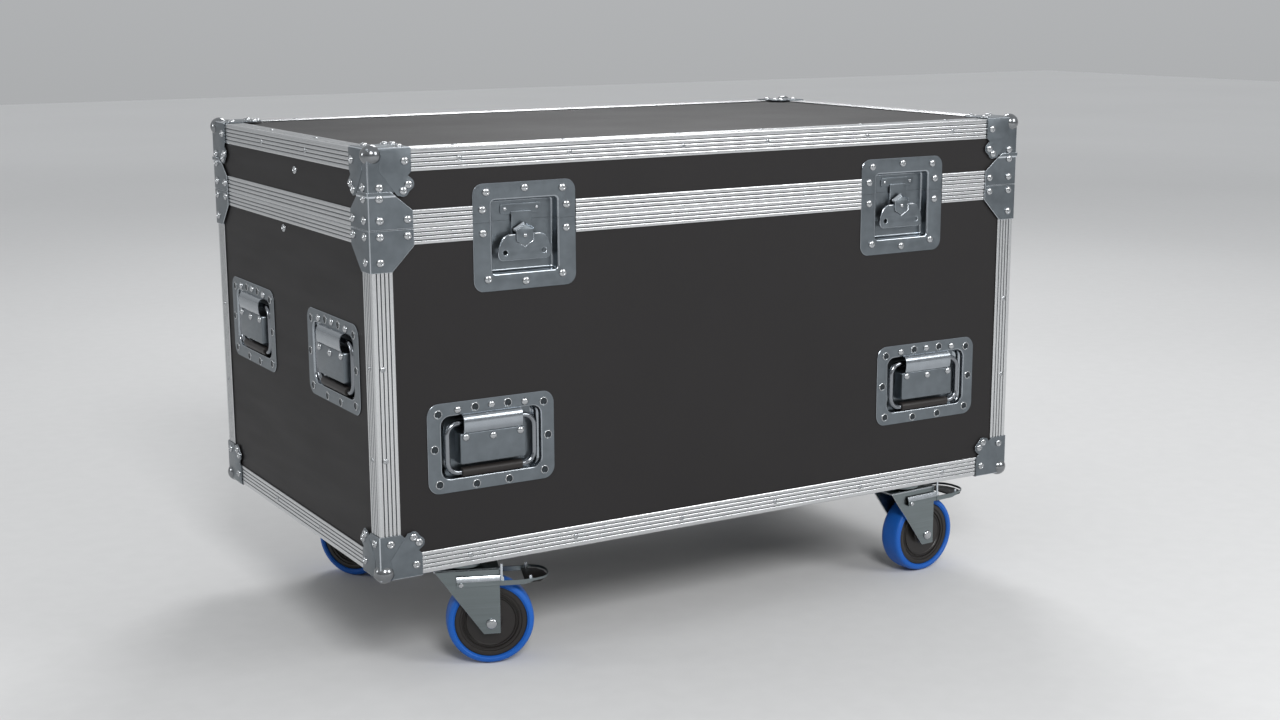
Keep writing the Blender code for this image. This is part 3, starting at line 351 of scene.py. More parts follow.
def from_curve(name, lines, **settings):
    """The shape of closed curves with straight pieces between their points."""
    curve = bpy.data.curves.new(name, "CURVE")
    for key, value in settings.items():
        setattr(curve, key, value)
    for places in lines:
        spline = curve.splines.new("POLY")
        spline.points.add(len(places) - 1)
        for point, place in zip(spline.points, places):
            point.co = (*place, 1.0)
        spline.use_cyclic_u = True
    carrier = bpy.data.objects.new(name, curve)
    scene.collection.objects.link(carrier)
    return evaluated(carrier)


def plate(name, outline, holes, thickness, edge, plane=Matrix.Identity(4), low=0.0, steps=2):
    """A flat sheet with holes and rounded edges, from low up. Its side faces are marked 1."""
    lines = [[(a, b, 0.0) for a, b in points] for points in (outline, *holes)]
    sizes = {"extrude": thickness / 2 - edge, "bevel_depth": edge, "bevel_resolution": steps, "offset": -edge}
    made = from_curve(name, lines, dimensions="2D", fill_mode="BOTH", **sizes)
    made.normal_update()
    for face in made.faces:
        if abs(face.normal.z) < 0.9:
            face.material_index = 1
    made.transform(plane @ at(0, 0, low + thickness / 2))
    return finished(name, made)


def solid(name, outline, low, high, plane):
    """A flat outline carried from low to high."""
    return loft(name, [[plane @ Vector((a, b, level)) for a, b in outline] for level in (low, high)])


def block(name, low, high):
    low, high = Vector(low), Vector(high)
    made = bmesh.new()
    place = Matrix.Translation((low + high) / 2) @ Matrix.Diagonal((*(high - low), 1.0))
    bmesh.ops.create_cube(made, size=1.0, matrix=place)
    return finished(name, made)


def carved(name, host, tools):
    """A mesh with others cut from it."""
    carrier = bpy.data.objects.new(name, host)
    scene.collection.objects.link(carrier)
    helpers = []
    for tool in tools:
        other = bpy.data.objects.new(name, tool)
        scene.collection.objects.link(other)
        helpers.append(other)
        modifier = carrier.modifiers.new("cut", "BOOLEAN")
        modifier.solver = "EXACT"
        modifier.object = other
    made = evaluated(carrier)
    for other in helpers:
        bpy.data.objects.remove(other, do_unlink=True)
    return finished(name, made)


def half_of(mesh, side):
    """The part of a closed mesh above the split, or below it for side -1, closed again."""
    made = bmesh.new()
    made.from_mesh(mesh)
    everything = made.verts[:] + made.edges[:] + made.faces[:]
    place, way = (0, 0, side * SPLIT), (0, 0, side)
    cut = bmesh.ops.bisect_plane(made, geom=everything, plane_co=place, plane_no=way, clear_inner=True)
    edges = [item for item in cut["geom_cut"] if isinstance(item, bmesh.types.BMEdge)]
    bmesh.ops.holes_fill(made, edges=edges)
    return finished(mesh.name, made)


def mark_folds(mesh):
    """Marks the faces that look between two of the mesh's axes, so that they take the rim's finish: a painted
    highlight along the rounded folds.
    """
    for face in mesh.polygons:
        if sorted(abs(value) for value in face.normal)[1] > 0.30:
            face.material_index = 1
    return mesh


def mark_depths(mesh, low, high):
    """Marks the faces whose middle lies between two depths along Y and that don't face straight along it, so
    that they take the rim's finish: painted light on a pocket's walls.
    """
    for face in mesh.polygons:
        if low < face.center.y < high and abs(face.normal.y) < 1.0:
            face.material_index = 1
    return mesh


def many(name, mesh, places):
    """One mesh with a copy of another at each place."""
    count = len(mesh.vertices)
    points = np.zeros(count * 3)
    mesh.vertices.foreach_get("co", points)
    points = points.reshape(-1, 3)
    faces = [list(face.vertices) for face in mesh.polygons]
    all_points, all_faces = [], []
    for number, place in enumerate(places):
        turned = points @ np.array(place.to_3x3()).T + np.array(place.translation)
        all_points.extend(map(tuple, turned))
        all_faces.extend([index + number * count for index in face] for face in faces)
    made = bpy.data.meshes.new(name)
    made.from_pydata(all_points, [], all_faces)
    kinds = [face.material_index for face in mesh.polygons]
    made.polygons.foreach_set("material_index", kinds * len(places))
    return made


def soften(obj, width, steps=2, angle=35.0):
    """Rounds the edges sharper than an angle, and gives them the rim's finish where there is one; on the zinc
    pieces that finish is a painted highlight.
    """
    modifier = obj.modifiers.new("edges", "BEVEL")
    modifier.width = width
    modifier.segments = steps
    modifier.limit_method = "ANGLE"
    modifier.angle_limit = math.radians(angle)
    modifier.harden_normals = True
    if len(obj.data.materials) > 1:
        modifier.material = 1


def show(name, mesh, finish, body, place=None, rim=None, node=None, bevel=0.0, angle=35.0):
    """A visible piece that rides on a body of the case, and stands for a node if one is given.

    Rim: the finish of its bevelled edges and of the faces marked 1.
    """
    obj = bpy.data.objects.new(name, mesh)
    scene.collection.objects.link(obj)
    if not mesh.materials:
        mesh.materials.append(finish)
        if rim:
            mesh.materials.append(rim)
    obj.matrix_world = place or Matrix.Identity(4)
    mesh.shade_smooth()
    if bevel:
        soften(obj, bevel, angle=angle)
    else:
        mesh.set_sharp_from_angle(angle=math.radians(angle))
    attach(obj, body)
    if node:
        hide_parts(node)


def studs(name, mesh, places, body, finish=RIVET, rim=None):
    """Rivets or bolts shown as one piece."""
    show(name, many("heads", mesh, places), finish, body, rim=rim)


# Panels, kept from the solids
def dress(node, finish, bevel, steps):
    """Gives a node's own solid its finish and softer edges."""
    obj = frame["nodes"][node]
    obj.data.materials.clear()
    obj.data.materials.append(finish)
    obj.data.shade_smooth()
    soften(obj, bevel, steps)


for panel in ("front_panel", "back_panel", "left_end_panel", "right_end_panel", "floor_panel", "lid_box"):
    dress(panel, LAMINATE, 0.0004, 1)


# Extrusions
def ridges(start, end, count, inward, lead):
    """Points from start to end along convex ridges with valleys between. Lead: how far the ends dip."""
    start, end, inward = Vector(start), Vector(end), Vector(inward)
    along = end - start
    found = []
    for index in range(count):
        for step in range(9):
            t = step / 8
            if step == 0 and index:
                continue
            u = abs(2 * t - 1)
            dip = RIDGE_DEPTH * (0.30 * u**2 + 0.70 * u**8)
            if (index == 0 and t < 0.5) or (index == count - 1 and t > 0.5):
                dip *= lead
            found.append(start + along * (index + t) / count + inward * dip)
    return [tuple(point) for point in found]


def edge_section():
    """L section of the edge angle, its outer corner at zero and rounded."""
    turn = 0.0016
    side = ridges((0.0, LEG), (0.0, turn), 5, (1, 0), 0.5)
    under = ridges((LEG, 0.0), (turn, 0.0), 5, (0, 1), 0.5)[::-1]
    bend = arc((turn, turn), turn, 180, 270, 3)
    return side[:-1] + bend + under[1:] + [(LEG, SKIN), (SKIN, SKIN), (SKIN, LEG)]


def body_rim_section():
    """Section of the body's rim with its tongue, the lid line at zero."""
    top, low, lip_low = -RIM_GAP, -RIM_GAP - BODY_RIM, -RIM_GAP - 0.014
    face = ridges((0.0, top), (0.0, low), 4, (1, 0), 0.6)
    near, far, tongue = 0.0045, 0.0075, top + 0.0045
    return face + [
        (SKIN, low), (SKIN, top - SKIN), (LIP_FACE, top - SKIN), (LIP_FACE, lip_low),
        (LIP_BACK, lip_low), (LIP_BACK, top), (far, top), (far, tongue), (near, tongue), (near, top),
    ]


def lid_rim_section():
    """Section of the lid's rim with the groove for the tongue."""
    low, high, lip_high = RIM_GAP, RIM_GAP + LID_RIM, RIM_GAP + 0.014
    near, far, roof, wall = 0.0039, 0.0088, 0.0060, 0.0012
    top = roof + wall
    face = ridges((0.0, low), (0.0, high), 4, (1, 0), 0.6)[::-1]
    return face + [
        (near, low), (near, roof), (far, roof), (far, low), (LIP_BACK, low), (LIP_BACK, lip_high),
        (LIP_FACE, lip_high), (LIP_FACE, low + SKIN), (far + wall, low + SKIN), (far + wall, top),
        (near - wall, top), (near - wall, low + SKIN), (SKIN, low + SKIN), (SKIN, high),
    ]


def member(name, section, origin, axis, first, second, length, mitres, body, node=None):
    """A length of extrusion, its section swept along X. Mitres: how far each end leans per unit of depth."""
    axis, first, second = Vector(axis), Vector(first), Vector(second)
    origin = Vector(origin)
    if Matrix((axis, first, second)).transposed().determinant() < 0:
        origin = origin + axis * length
        axis = -axis
        mitres = mitres[::-1]
    start = [(mitres[0] * depth, depth, height) for depth, height in section]
    end = [(length - mitres[1] * depth, depth, height) for depth, height in section]
    mesh = loft(name, [start, end])
    # Faces deep in the valleys take the darker valley finish: painted shade in the grooves.
    for face in mesh.polygons:
        depth, height = face.center.y, face.center.z
        for near, far in ((depth, abs(height)), (height, depth)):
            if VALLEY_DIP < near < RIDGE_DEPTH and far > 0.0025 and abs(face.normal.x) < 0.1:
                face.material_index = 1
    place = Matrix((axis, first, second)).transposed().to_4x4()
    place.translation = origin
    show(name, mesh, ALUMINIUM, body, place, VALLEY_SHADE, node, angle=50.0)


SIDES = {
    "front": ((-1, -1), (1, 0, 0), (0, 1, 0), 2 * HALF_X),
    "back": ((-1, 1), (1, 0, 0), (0, -1, 0), 2 * HALF_X),
    "left": ((-1, -1), (0, 1, 0), (1, 0, 0), 2 * HALF_Y),
    "right": ((1, -1), (0, 1, 0), (-1, 0, 0), 2 * HALF_Y),
}
LATCH_BOXES = {side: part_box(f"{side}_latch_lid_dish") for side in ("left", "right")}
STRIP_LOW, STRIP_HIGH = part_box("lid_rim_strip")
LATCH_END = LATCH_BOXES["right"][1].x + RIM_GAP

edge = edge_section()
for side, (corner, axis, inward, length) in SIDES.items():
    x, y = corner[0] * HALF_X, corner[1] * HALF_Y
    for body, level, up in (("body", CASE_BOTTOM, 1), ("lid", CASE_TOP, -1)):
        node = f"{body}_edge_frame" if side == "front" else None
        start = (x, y, level)
        member(f"{body}_edge_{side}", edge, start, axis, inward, (0, 0, up), length, (1, 1), body, node)
    for body, section in (("body", body_rim_section()), ("lid", lid_rim_section())):
        lengths = [(side, x, length, (1, 1), None)]
        if side == "front":
            short = HALF_X - LATCH_END
            lengths = [
                ("front_left", x, short, (1, 0), f"{body}_rim_frame"),
                ("front_right", LATCH_END, short, (0, 1), None),
                ("middle", STRIP_LOW.x, STRIP_HIGH.x - STRIP_LOW.x, (0, 0), f"{body}_rim_strip"),
            ]
        for label, along, reach, mitres, node in lengths:
            start = (along, y, LID_LINE)
            member(f"{body}_rim_{label}", section, start, axis, inward, (0, 0, 1), reach, mitres, body, node)

UPRIGHTS = {
    "body": (CASE_BOTTOM + LEG - SKIN, LID_LINE - RIM_GAP - BODY_RIM - RIM_GAP),
    "lid": (LID_LINE + RIM_GAP + LID_RIM + RIM_GAP, CASE_TOP - LEG + SKIN),
}
for name, (side_x, side_y) in CORNERS.items():
    for body, (low, high) in UPRIGHTS.items():
        origin = (side_x * HALF_X, side_y * HALF_Y, low)
        first, second = (0, -side_y, 0), (-side_x, 0, 0)
        member(f"{body}_upright_{name}", edge, origin, (0, 0, 1), first, second, high - low, (0, 0), body)


# Rivets
def dome(radius, height, dimple):
    """Pressed rivet head with the hollow that its mandrel leaves."""
    rise = [(radius, -0.0004), (radius, height * 0.16)]
    for angle in (20, 40, 58, 72):
        turn = math.radians(angle)
        rise.append((radius * math.cos(turn) ** 0.8, height * (0.16 + 0.84 * math.sin(turn))))
    rise += [
        (dimple * 1.15, height), (dimple, height * 0.94), (dimple * 0.86, height * 0.62),
        (dimple * 0.55, height * 0.60), (dimple * 0.42, height * 0.74), (0.0, height * 0.78),
    ]
    return lathe("dome", rise, 20)


def cap(radius, height):
    """Plain dome."""
    rise = [(radius, -0.0006), (radius, height * 0.10)]
    for angle in (15, 32, 48, 64, 78):
        turn = math.radians(angle)
        rise.append((radius * math.cos(turn), height * (0.10 + 0.90 * math.sin(turn))))
    return lathe("cap", rise + [(0.0, height)], 20)


def countersunk(radius):
    """Thin raised ring round a dished fastener, its inside painted dark as the shade of a hole."""
    mesh = lathe(
        "countersunk",
        [
            (radius, -0.0003), (radius, 0.0004), (radius - 0.0004, 0.0009), (radius - 0.0009, 0.0011),
            (radius - 0.0014, 0.0010), (radius - 0.0021, 0.0006), (radius * 0.50, 0.0003),
            (radius * 0.25, 0.0002), (0.0, 0.0002),
        ],
        24,
    )
    # The faces inside the ring take the dark finish: painted shade where the hole would be.
    for face in mesh.polygons:
        if face.center.xy.length < radius - 0.0013 and face.normal.z > 0:
            face.material_index = 1
    return mesh


BIG_DOME = dome(0.0058, 0.0030, 0.0021)
SMALL_DOME = dome(0.0040, 0.0018, 0.0018)
CAP = cap(0.0054, 0.0032)
SUNK = countersunk(0.0063)


# Ball corners
EAR = 0.0082
LAYER_LOW = -0.0022
BALL_RADIUS = 0.0139
BALL_CENTRE = 0.0075


def ears(radius, last, count):
    """Edge of the double ear between two legs."""
    return arc((0.0545, 0.0455), radius, -45, 60, 8) + arc((0.0470, 0.0535), radius, 20, last, count)


def ball_corner():
    """Three plates of a corner with rounded folds, local X, Y and Z into the case."""
    reach, leg, size = 0.0592, 0.0295, 0.0680
    made = bmesh.new()
    middle = (PLATE_FACE + size) / 2
    cube = at(middle, middle, middle) @ Matrix.Scale(size - PLATE_FACE, 4)
    bmesh.ops.create_cube(made, size=1.0, matrix=cube)
    folds = []
    for item in made.edges:
        centre = (item.verts[0].co + item.verts[1].co) / 2
        if sum(abs(value - PLATE_FACE) < 1e-6 for value in centre) == 2:
            folds.append(item)
    bmesh.ops.bevel(made, geom=folds, offset=0.0024, segments=4, profile=0.5, affect="EDGES")
    host = finished("ball_corner", made)
    tools = [block("inside", (PLATE_BACK, PLATE_BACK, PLATE_BACK), (0.2, 0.2, 0.2))]
    near, beyond = -0.01, 0.09
    waste = [(beyond, near), (reach, near), (reach, leg), (reach - 0.0050, leg + 0.0052)] + ears(EAR, 135, 8)
    waste += [(leg + 0.0052, reach - 0.0050), (leg, reach), (near, reach), (near, beyond), (beyond, beyond)]
    for plane in (Matrix.Identity(4), XZ, YZ):
        tools.append(solid("waste", waste, near, PLATE_BACK / 2, plane))
    return carved("ball_corner", host, tools)


def corner_layer():
    """Outer layer over the leg and the ears: one raised sheet, in the XZ plane of a face."""
    reach = 0.0586
    outline = [(0.0185, 0.0012), (reach, 0.0012), (reach, 0.0292), (0.0540, 0.0346)]
    outline += ears(EAR - 0.0005, 100, 7) + [(0.0385, 0.0600), (0.0133, 0.0262)]
    return plate("corner_layer", outline, [], 0.0006, 0.0002, XZ, LAYER_LOW)


def ball():
    points = [(BALL_RADIUS * math.sin(a), BALL_RADIUS * math.cos(a)) for a in np.linspace(0, math.pi, 21)]
    points[0] = (0.0, BALL_RADIUS)
    points[-1] = (0.0, -BALL_RADIUS)
    return lathe("ball", points, 40)


CORNER_MESH = mark_folds(ball_corner())
LAYER_MESH = corner_layer()
BALL_MESH = ball()
# The three faces of a corner: a frame with X along the face, Y into the case and Z the other way along it
SWAPPED = Matrix(((0, 1, 0, 0), (1, 0, 0, 0), (0, 0, 1, 0), (0, 0, 0, 1)))
FACES = [Matrix.Identity(4), SWAPPED, XZ]
ON_LAYER = -0.0021
CORNER_RIVETS = [
    (0.0500, ON_LAYER, 0.0155), (0.0140, PLATE_FACE, 0.0485), (0.0545, ON_LAYER, 0.0460),
    (0.0470, ON_LAYER, 0.0538),
]
for name, (side_x, side_y) in CORNERS.items():
    for level, body, where in ((CASE_BOTTOM, "body", "bottom"), (CASE_TOP, "lid", "top")):
        node = f"ball_corner_{where}_{name}"
        place = at_corner(side_x, side_y, level, where == "top")
        show(f"{node}_plates", CORNER_MESH, ZINC, body, place, ZINC_EDGE_HIGHLIGHT, node, bevel=0.0005, angle=40.0)
        show(f"{node}_ball", BALL_MESH, BALL, body, place @ at(BALL_CENTRE, BALL_CENTRE, BALL_CENTRE))
        layers = [place @ turn for turn in FACES]
        studs(f"{node}_layers", LAYER_MESH, layers, body, ZINC, ZINC)
        heads = [layer @ at(*spot) @ OUT for layer in layers for spot in CORNER_RIVETS]
        studs(f"{node}_rivets", BIG_DOME, heads, body)


# Corner braces over the rims
def brace(height, square, reach, lift):
    """Bent sheet round a vertical edge, from the lid line up. Its top is set outwards by lift."""
    chamfer, bend = 0.0290, 0.0022
    stations = [(RIM_GAP, 0.0), (height, 0.0)]
    if lift:
        stations = [(RIM_GAP, 0.0), (height - 0.0075, 0.0), (height - 0.0050, lift), (height, lift)]
    rings = []
    for level, out in stations:
        far, near = PLATE_FACE - out, PLATE_BACK - out
        outer = arc((far + bend, far + bend), bend, 270, 180, 4)
        ring = [(reach, near), (reach, far)] + outer + [(far, reach), (near, reach), (near, near)]
        rings.append([(x, y, level) for x, y in ring])
    slant = [(chamfer, height + 0.001), (chamfer, height), (reach, square)]
    slant += [(reach + 0.002, square), (reach + 0.002, height + 0.001)]
    tools = [solid("slant", slant, -0.01, 0.002, plane) for plane in (XZ, YZ)]
    return carved("brace", loft("brace", rings), tools)


LID_BRACE = mark_folds(brace(0.0495, 0.0237, 0.0600, 0.0016))
BODY_BRACE = mark_folds(brace(0.0550, 0.0224, 0.0605, 0.0))
LID_BRACE_RIVETS = [(0.0135, 0.0405), (0.0135, 0.0127), (0.0520, 0.0127)]
BODY_BRACE_RIVETS = [(0.0130, 0.0085), (0.0515, 0.0087), (0.0125, 0.0415)]
for name, (side_x, side_y) in CORNERS.items():
    place = at_corner(side_x, side_y, LID_LINE)
    for body, mesh, spot, holes in (
        ("lid", LID_BRACE, place, LID_BRACE_RIVETS),
        ("body", BODY_BRACE, place @ OVER, BODY_BRACE_RIVETS),
    ):
        show(f"{body}_brace_{name}", mesh, ZINC, body, spot, ZINC_EDGE_HIGHLIGHT, bevel=0.0006, angle=40.0)
        heads = on(spot, PLATE_FACE, holes) + on(spot @ SWAPPED, PLATE_FACE, holes)
        studs(f"{body}_brace_{name}_rivets", BIG_DOME, heads, body)


# Rivets of the extrusions, sunk a little between the ridges
RIVET_SEAT = 0.0006
TOP_INSET = 0.0160
LOW_INSET = 0.0150
PANEL_DEPTH = 0.0021
LONG_TOP = (-0.414, -0.251, -0.071, 0.071, 0.251, 0.414)
LONG_LOW = (-0.411, -0.248, -0.073, 0.092, 0.251, 0.414)
SHORT = (-0.090, 0.090)
UPRIGHT_LEVELS = (0.327, 0.450)


def rivet_row(name, face, body, spots):
    """Rivets on a side's face: each spot is a place along the side and a height."""
    heads = [on_face(face, along, height) @ at(0, RIVET_SEAT, 0) @ OUT for along, height in spots]
    studs(name, SMALL_DOME, heads, body)


for face in SIDES:
    long = face in ("front", "back")
    half = HALF_X if long else HALF_Y
    top, low = (LONG_TOP, LONG_LOW) if long else (SHORT, SHORT)
    rivet_row(f"lid_rivets_{face}", face, "lid", [(x, CASE_TOP - TOP_INSET) for x in top])
    spots = [(x, CASE_BOTTOM + LOW_INSET) for x in low]
    for side in (-1, 1):
        near_front = (face == "left" and side > 0) or (face == "right" and side < 0)
        inset = 0.0120 if long else (0.0175 if near_front else 0.0150)
        spots += [(side * (half - inset), level) for level in UPRIGHT_LEVELS]
    rivet_row(f"body_rivets_{face}", face, "body", spots)

# Rivets through the lid's top and the underside, in the legs that lie flat
heads, under = [], []
for side in (-1, 1):
    x, y = side * (HALF_X - TOP_INSET), side * (HALF_Y - TOP_INSET)
    heads += [at(along, y, CASE_TOP - RIVET_SEAT) for along in LONG_TOP]
    heads += [at(x, along, CASE_TOP - RIVET_SEAT) for along in SHORT]
    under += [at(along, y, CASE_BOTTOM + RIVET_SEAT) @ DOWN for along in LONG_LOW]
    under += [at(x, along, CASE_BOTTOM + RIVET_SEAT) @ DOWN for along in SHORT]
studs("lid_top_rivets", SMALL_DOME, heads, "lid")
studs("body_underside_rivets", SMALL_DOME, under, "body")

# The two pairs of rivets on the ends, one through the lid's wall and one through the body's
for face, sign in (("left", 1), ("right", -1)):
    for body, along, height in (("lid", 0.0418, 0.688), ("body", -0.0135, 0.6006)):
        head = on_face(face, sign * along, height) @ at(0, PANEL_DEPTH, 0) @ OUT
        studs(f"{body}_stay_rivet_{face}", BIG_DOME, [head], body)


# Handles
DISH_HALF_X, DISH_HALF_Z, DISH_ROUND = 0.095, 0.062, 0.017
POCKET_HALF_X, POCKET_HALF_Z, POCKET_ROUND = 0.076, 0.0445, 0.014
BAIL_DEPTH, BAIL_RISE, BAIL_HALF, BAIL_HEIGHT = 0.0049, 0.0315, 0.065, 0.068
DISH_STEPS = (
    (-0.0014, 0.0006), (-0.0004, 0.0007), (0.0008, 0.0012), (0.0014, 0.0022), (0.0018, 0.0046),
    (0.0022, 0.0066), (0.0034, 0.0074), (0.0048, 0.0079), (0.0056, 0.0088), (0.0060, 0.0106),
    (0.0066, 0.0122), (0.0078, 0.0130), (0.0090, 0.0134), (0.0098, 0.0140), (0.0112, 0.0146),
)


def ring_at(half, low, high, radius, depth, count):
    """A rectangle with round corners at a depth, X along and Z up."""
    return [(x, depth, z) for x, z in rounded(half, low, high, radius, count)]


def flange(half, low, high, radius, count):
    """Rings round a dish's rim, from its back to its face."""
    rings = []
    for grow, depth in (
        (-0.0002, DISH_BACK), (0.0, DISH_BACK - 0.0003), (0.0, DISH_FACE + 0.0004),
        (-0.0004, DISH_FACE),
    ):
        rings.append(ring_at(half + grow, low - grow, high + grow, radius, depth, count))
    return rings


def pocket_ring(wide, high, radius, depth):
    """A ring of the handle's pocket, grown by wide along X and by high along Z."""
    half = POCKET_HALF_Z + high
    return ring_at(POCKET_HALF_X + wide, -half, half, radius, depth, 8)


def handle_dish():
    """Flange with a stepped, round-cornered pocket pressed into it."""
    rings = [
        pocket_ring(-0.0080, -0.0004, POCKET_ROUND - 0.004, POCKET_BACK),
        pocket_ring(0.0008, 0.0008, POCKET_ROUND, 0.0100),
        pocket_ring(0.0011, 0.0011, POCKET_ROUND, DISH_BACK),
    ]
    rings += flange(DISH_HALF_X, -DISH_HALF_Z, DISH_HALF_Z, DISH_ROUND, 8)
    for inset, depth in DISH_STEPS:
        rings.append(pocket_ring(-inset, -min(inset, 0.0013), POCKET_ROUND - inset * 0.55, depth))
    return mark_depths(loft("handle_dish", rings), 0.0007, 0.0145)


COVER_FACE = -0.0032
TUNNEL = [
    (0.0048, 0.0444), (0.0005, 0.0440), (-0.0030, 0.0422), (-0.0053, 0.0386), (-0.0063, 0.0340),
    (-0.0064, 0.0290), (-0.0060, 0.0240), (-0.0046, 0.0198), (-0.0033, 0.0182),
]


def blend(t, p, q, r, s):
    """Value at t between q and r, on a smooth curve through both that heeds p and s."""
    bend = 2 * p - 5 * q + 4 * r - s
    return 0.5 * (2 * q + (r - p) * t + bend * t * t + (3 * q - p - 3 * r + s) * t**3)


def smooth_line(points):
    """A smooth line through the points, in four steps between each two."""
    found = []
    padded = [points[0]] + list(points) + [points[-1]]
    for a, b, c, d in zip(padded, padded[1:], padded[2:], padded[3:]):
        for step in range(4):
            found.append(tuple(blend(step / 4, *values) for values in zip(a, b, c, d)))
    return found + [points[-1]]


def heading(line, index):
    """Direction of a line of points at one of them."""
    before = Vector(line[max(index - 1, 0)])
    after = Vector(line[min(index + 1, len(line) - 1)])
    return (after - before).normalized()


def strip_along(name, line, thickness, half):
    """A bent sheet: a side view of depth and height with a thickness behind it, carried across X."""
    edge = 0.0003
    pairs = []
    for index, point in enumerate(line):
        way = heading(line, index)
        inward = Vector((-way.y, way.x))
        if inward.x < 0 and abs(inward.x) > abs(inward.y):
            inward = -inward
        front = Vector(point)
        pairs.append((front, front + inward * thickness))
    rings = []
    for x, pull in ((-half, edge), (edge - half, 0.0), (half - edge, 0.0), (half, edge)):
        ring = [front + (back - front).normalized() * pull for front, back in pairs]
        ring += [back + (front - back).normalized() * pull for front, back in reversed(pairs)]
        rings.append([(x, point.x, point.y) for point in ring])
    return loft(name, rings)


def island():
    """Hollow raised cover: its flat plate stands proud of the flange, its sides reach the pocket's floor."""
    half = 0.0490
    low, high = -0.0245, 0.0183
    rings = []
    for inset, depth in (
        (0.0, POCKET_FLOOR), (0.0, 0.0060), (0.0001, COVER_FACE + 0.0013),
        (0.0004, COVER_FACE + 0.0006), (0.0010, COVER_FACE + 0.0001), (0.0016, COVER_FACE),
    ):
        rings.append(ring_at(half - inset, low + inset, high - inset, 0.0028, depth, 4))
    return loft("island", rings)


def bail():
    """Round wire loop: X along, Z down from the bar's axis."""
    loop = ring_at(BAIL_HALF, -BAIL_HEIGHT, 0.0, 0.016, 0.0, 10)
    made = from_curve("bail", [loop], dimensions="3D", bevel_depth=0.0040, bevel_resolution=5)
    return finished("bail", made)


def grip():
    """Sleeve round the bail's lower bar."""
    half = 0.0452
    profile = [
        (0.0041, -half), (0.0058, -half), (0.0064, -half + 0.0006), (0.0065, -half + 0.0016),
        (0.0065, half - 0.0016), (0.0064, half - 0.0006), (0.0058, half), (0.0041, half),
    ]
    mesh = lathe("grip", profile, 32, closed=True)
    mesh.transform(at(0, 0, -BAIL_HEIGHT) @ Matrix.Rotation(math.pi / 2, 4, "Y"))
    return mesh


DISH_MESH = handle_dish()
ISLAND_MESH = island()
TUNNEL_MESH = strip_along("tunnel", smooth_line(TUNNEL), 0.0012, 0.0440)
BAIL_MESH = bail()
GRIP_MESH = grip()
SUNK_PAIRS = ((0.0790, 0.0475), (0.0245, 0.0524), (0.0850, 0.0), (0.0790, -0.0490), (0.0245, -0.0543))
SUNK_SPOTS = [(side * x, z) for x, z in SUNK_PAIRS for side in (-1, 1)]
HIGH_DOMES = [(-0.0500, 0.0512), (0.0, 0.0528), (0.0500, 0.0508)]
COVER_DOMES = [(-0.0404, 0.0127), (0.0, 0.0108), (0.0410, 0.0127)]
HANDLE_DISHES = sorted(node for node in frame["nodes"] if "_handle_" in node and node.endswith("_dish"))
for node in HANDLE_DISHES:
    name = node.removesuffix("_dish")
    face = name.split("_")[0]
    low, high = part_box(node)
    middle = (low + high) / 2
    along = {"front": middle.x, "back": -middle.x, "left": -middle.y, "right": middle.y}[face]
    place = on_face(face, along, middle.z)
    # The pocket's walls and the whole tunnel take the lighter zinc: painted light.
    show(f"{name}_pressed_dish", DISH_MESH, ZINC, "body", place, ZINC_PAINTED_LIGHT, node)
    show(f"{name}_cover", ISLAND_MESH, ZINC, "body", place)
    show(f"{name}_tunnel", TUNNEL_MESH, ZINC_PAINTED_LIGHT, "body", place)
    studs(f"{name}_fasteners", SUNK, on(place, DISH_FACE, SUNK_SPOTS), "body", rim=SUNK_HOLE_SHADE)
    heads = on(place, DISH_FACE, HIGH_DOMES) + on(place, COVER_FACE, COVER_DOMES)
    studs(f"{name}_domes", CAP, heads, "body")
    bar, hang = f"{name}_bail", place @ at(0, BAIL_DEPTH, BAIL_RISE)
    show(f"{name}_wire", BAIL_MESH, BRIGHT, bar, hang, node=bar)
    show(f"{name}_grip", GRIP_MESH, GRIP, bar, hang)


# Latches
LATCH_HALF, LATCH_TOP, LATCH_LOW, LATCH_ROUND = 0.077, 0.0521, -0.0925, 0.015
RECESS_HALF, RECESS_TOP, RECESS_LOW = 0.049, 0.0285, -0.069
SPINDLE_Z = -0.0204
WING_DEPTH = 0.0034
KEEPER_FACE = POCKET_FLOOR - 0.0017
RECESS_STEPS = (
    (0.0026, 0.0006), (0.0014, 0.0009), (0.0005, 0.0016), (0.0, 0.0028), (-0.0002, 0.0090),
    (-0.0006, 0.0118), (-0.0014, 0.0136), (-0.0028, 0.0145), (-0.0042, 0.0146),
)


def recess_ring(grow, radius, depth):
    """A ring of the latch's recess."""
    return ring_at(RECESS_HALF + grow, RECESS_LOW - grow, RECESS_TOP + grow, radius, depth, 6)


def latch_dish():
    """Flange with a recess that has rounded edges, both halves in one."""
    rings = [
        recess_ring(0.0008, 0.004, POCKET_BACK),
        recess_ring(0.0011, 0.004, POCKET_BACK - 0.002),
        recess_ring(0.0011, 0.004, DISH_BACK),
    ]
    rings += flange(LATCH_HALF, LATCH_LOW, LATCH_TOP, LATCH_ROUND, 6)
    for grow, depth in RECESS_STEPS:
        rings.append(recess_ring(grow, max(0.0045 + grow, 0.002), depth))
    return mark_depths(loft("latch_dish", rings), 0.0007, 0.0144)


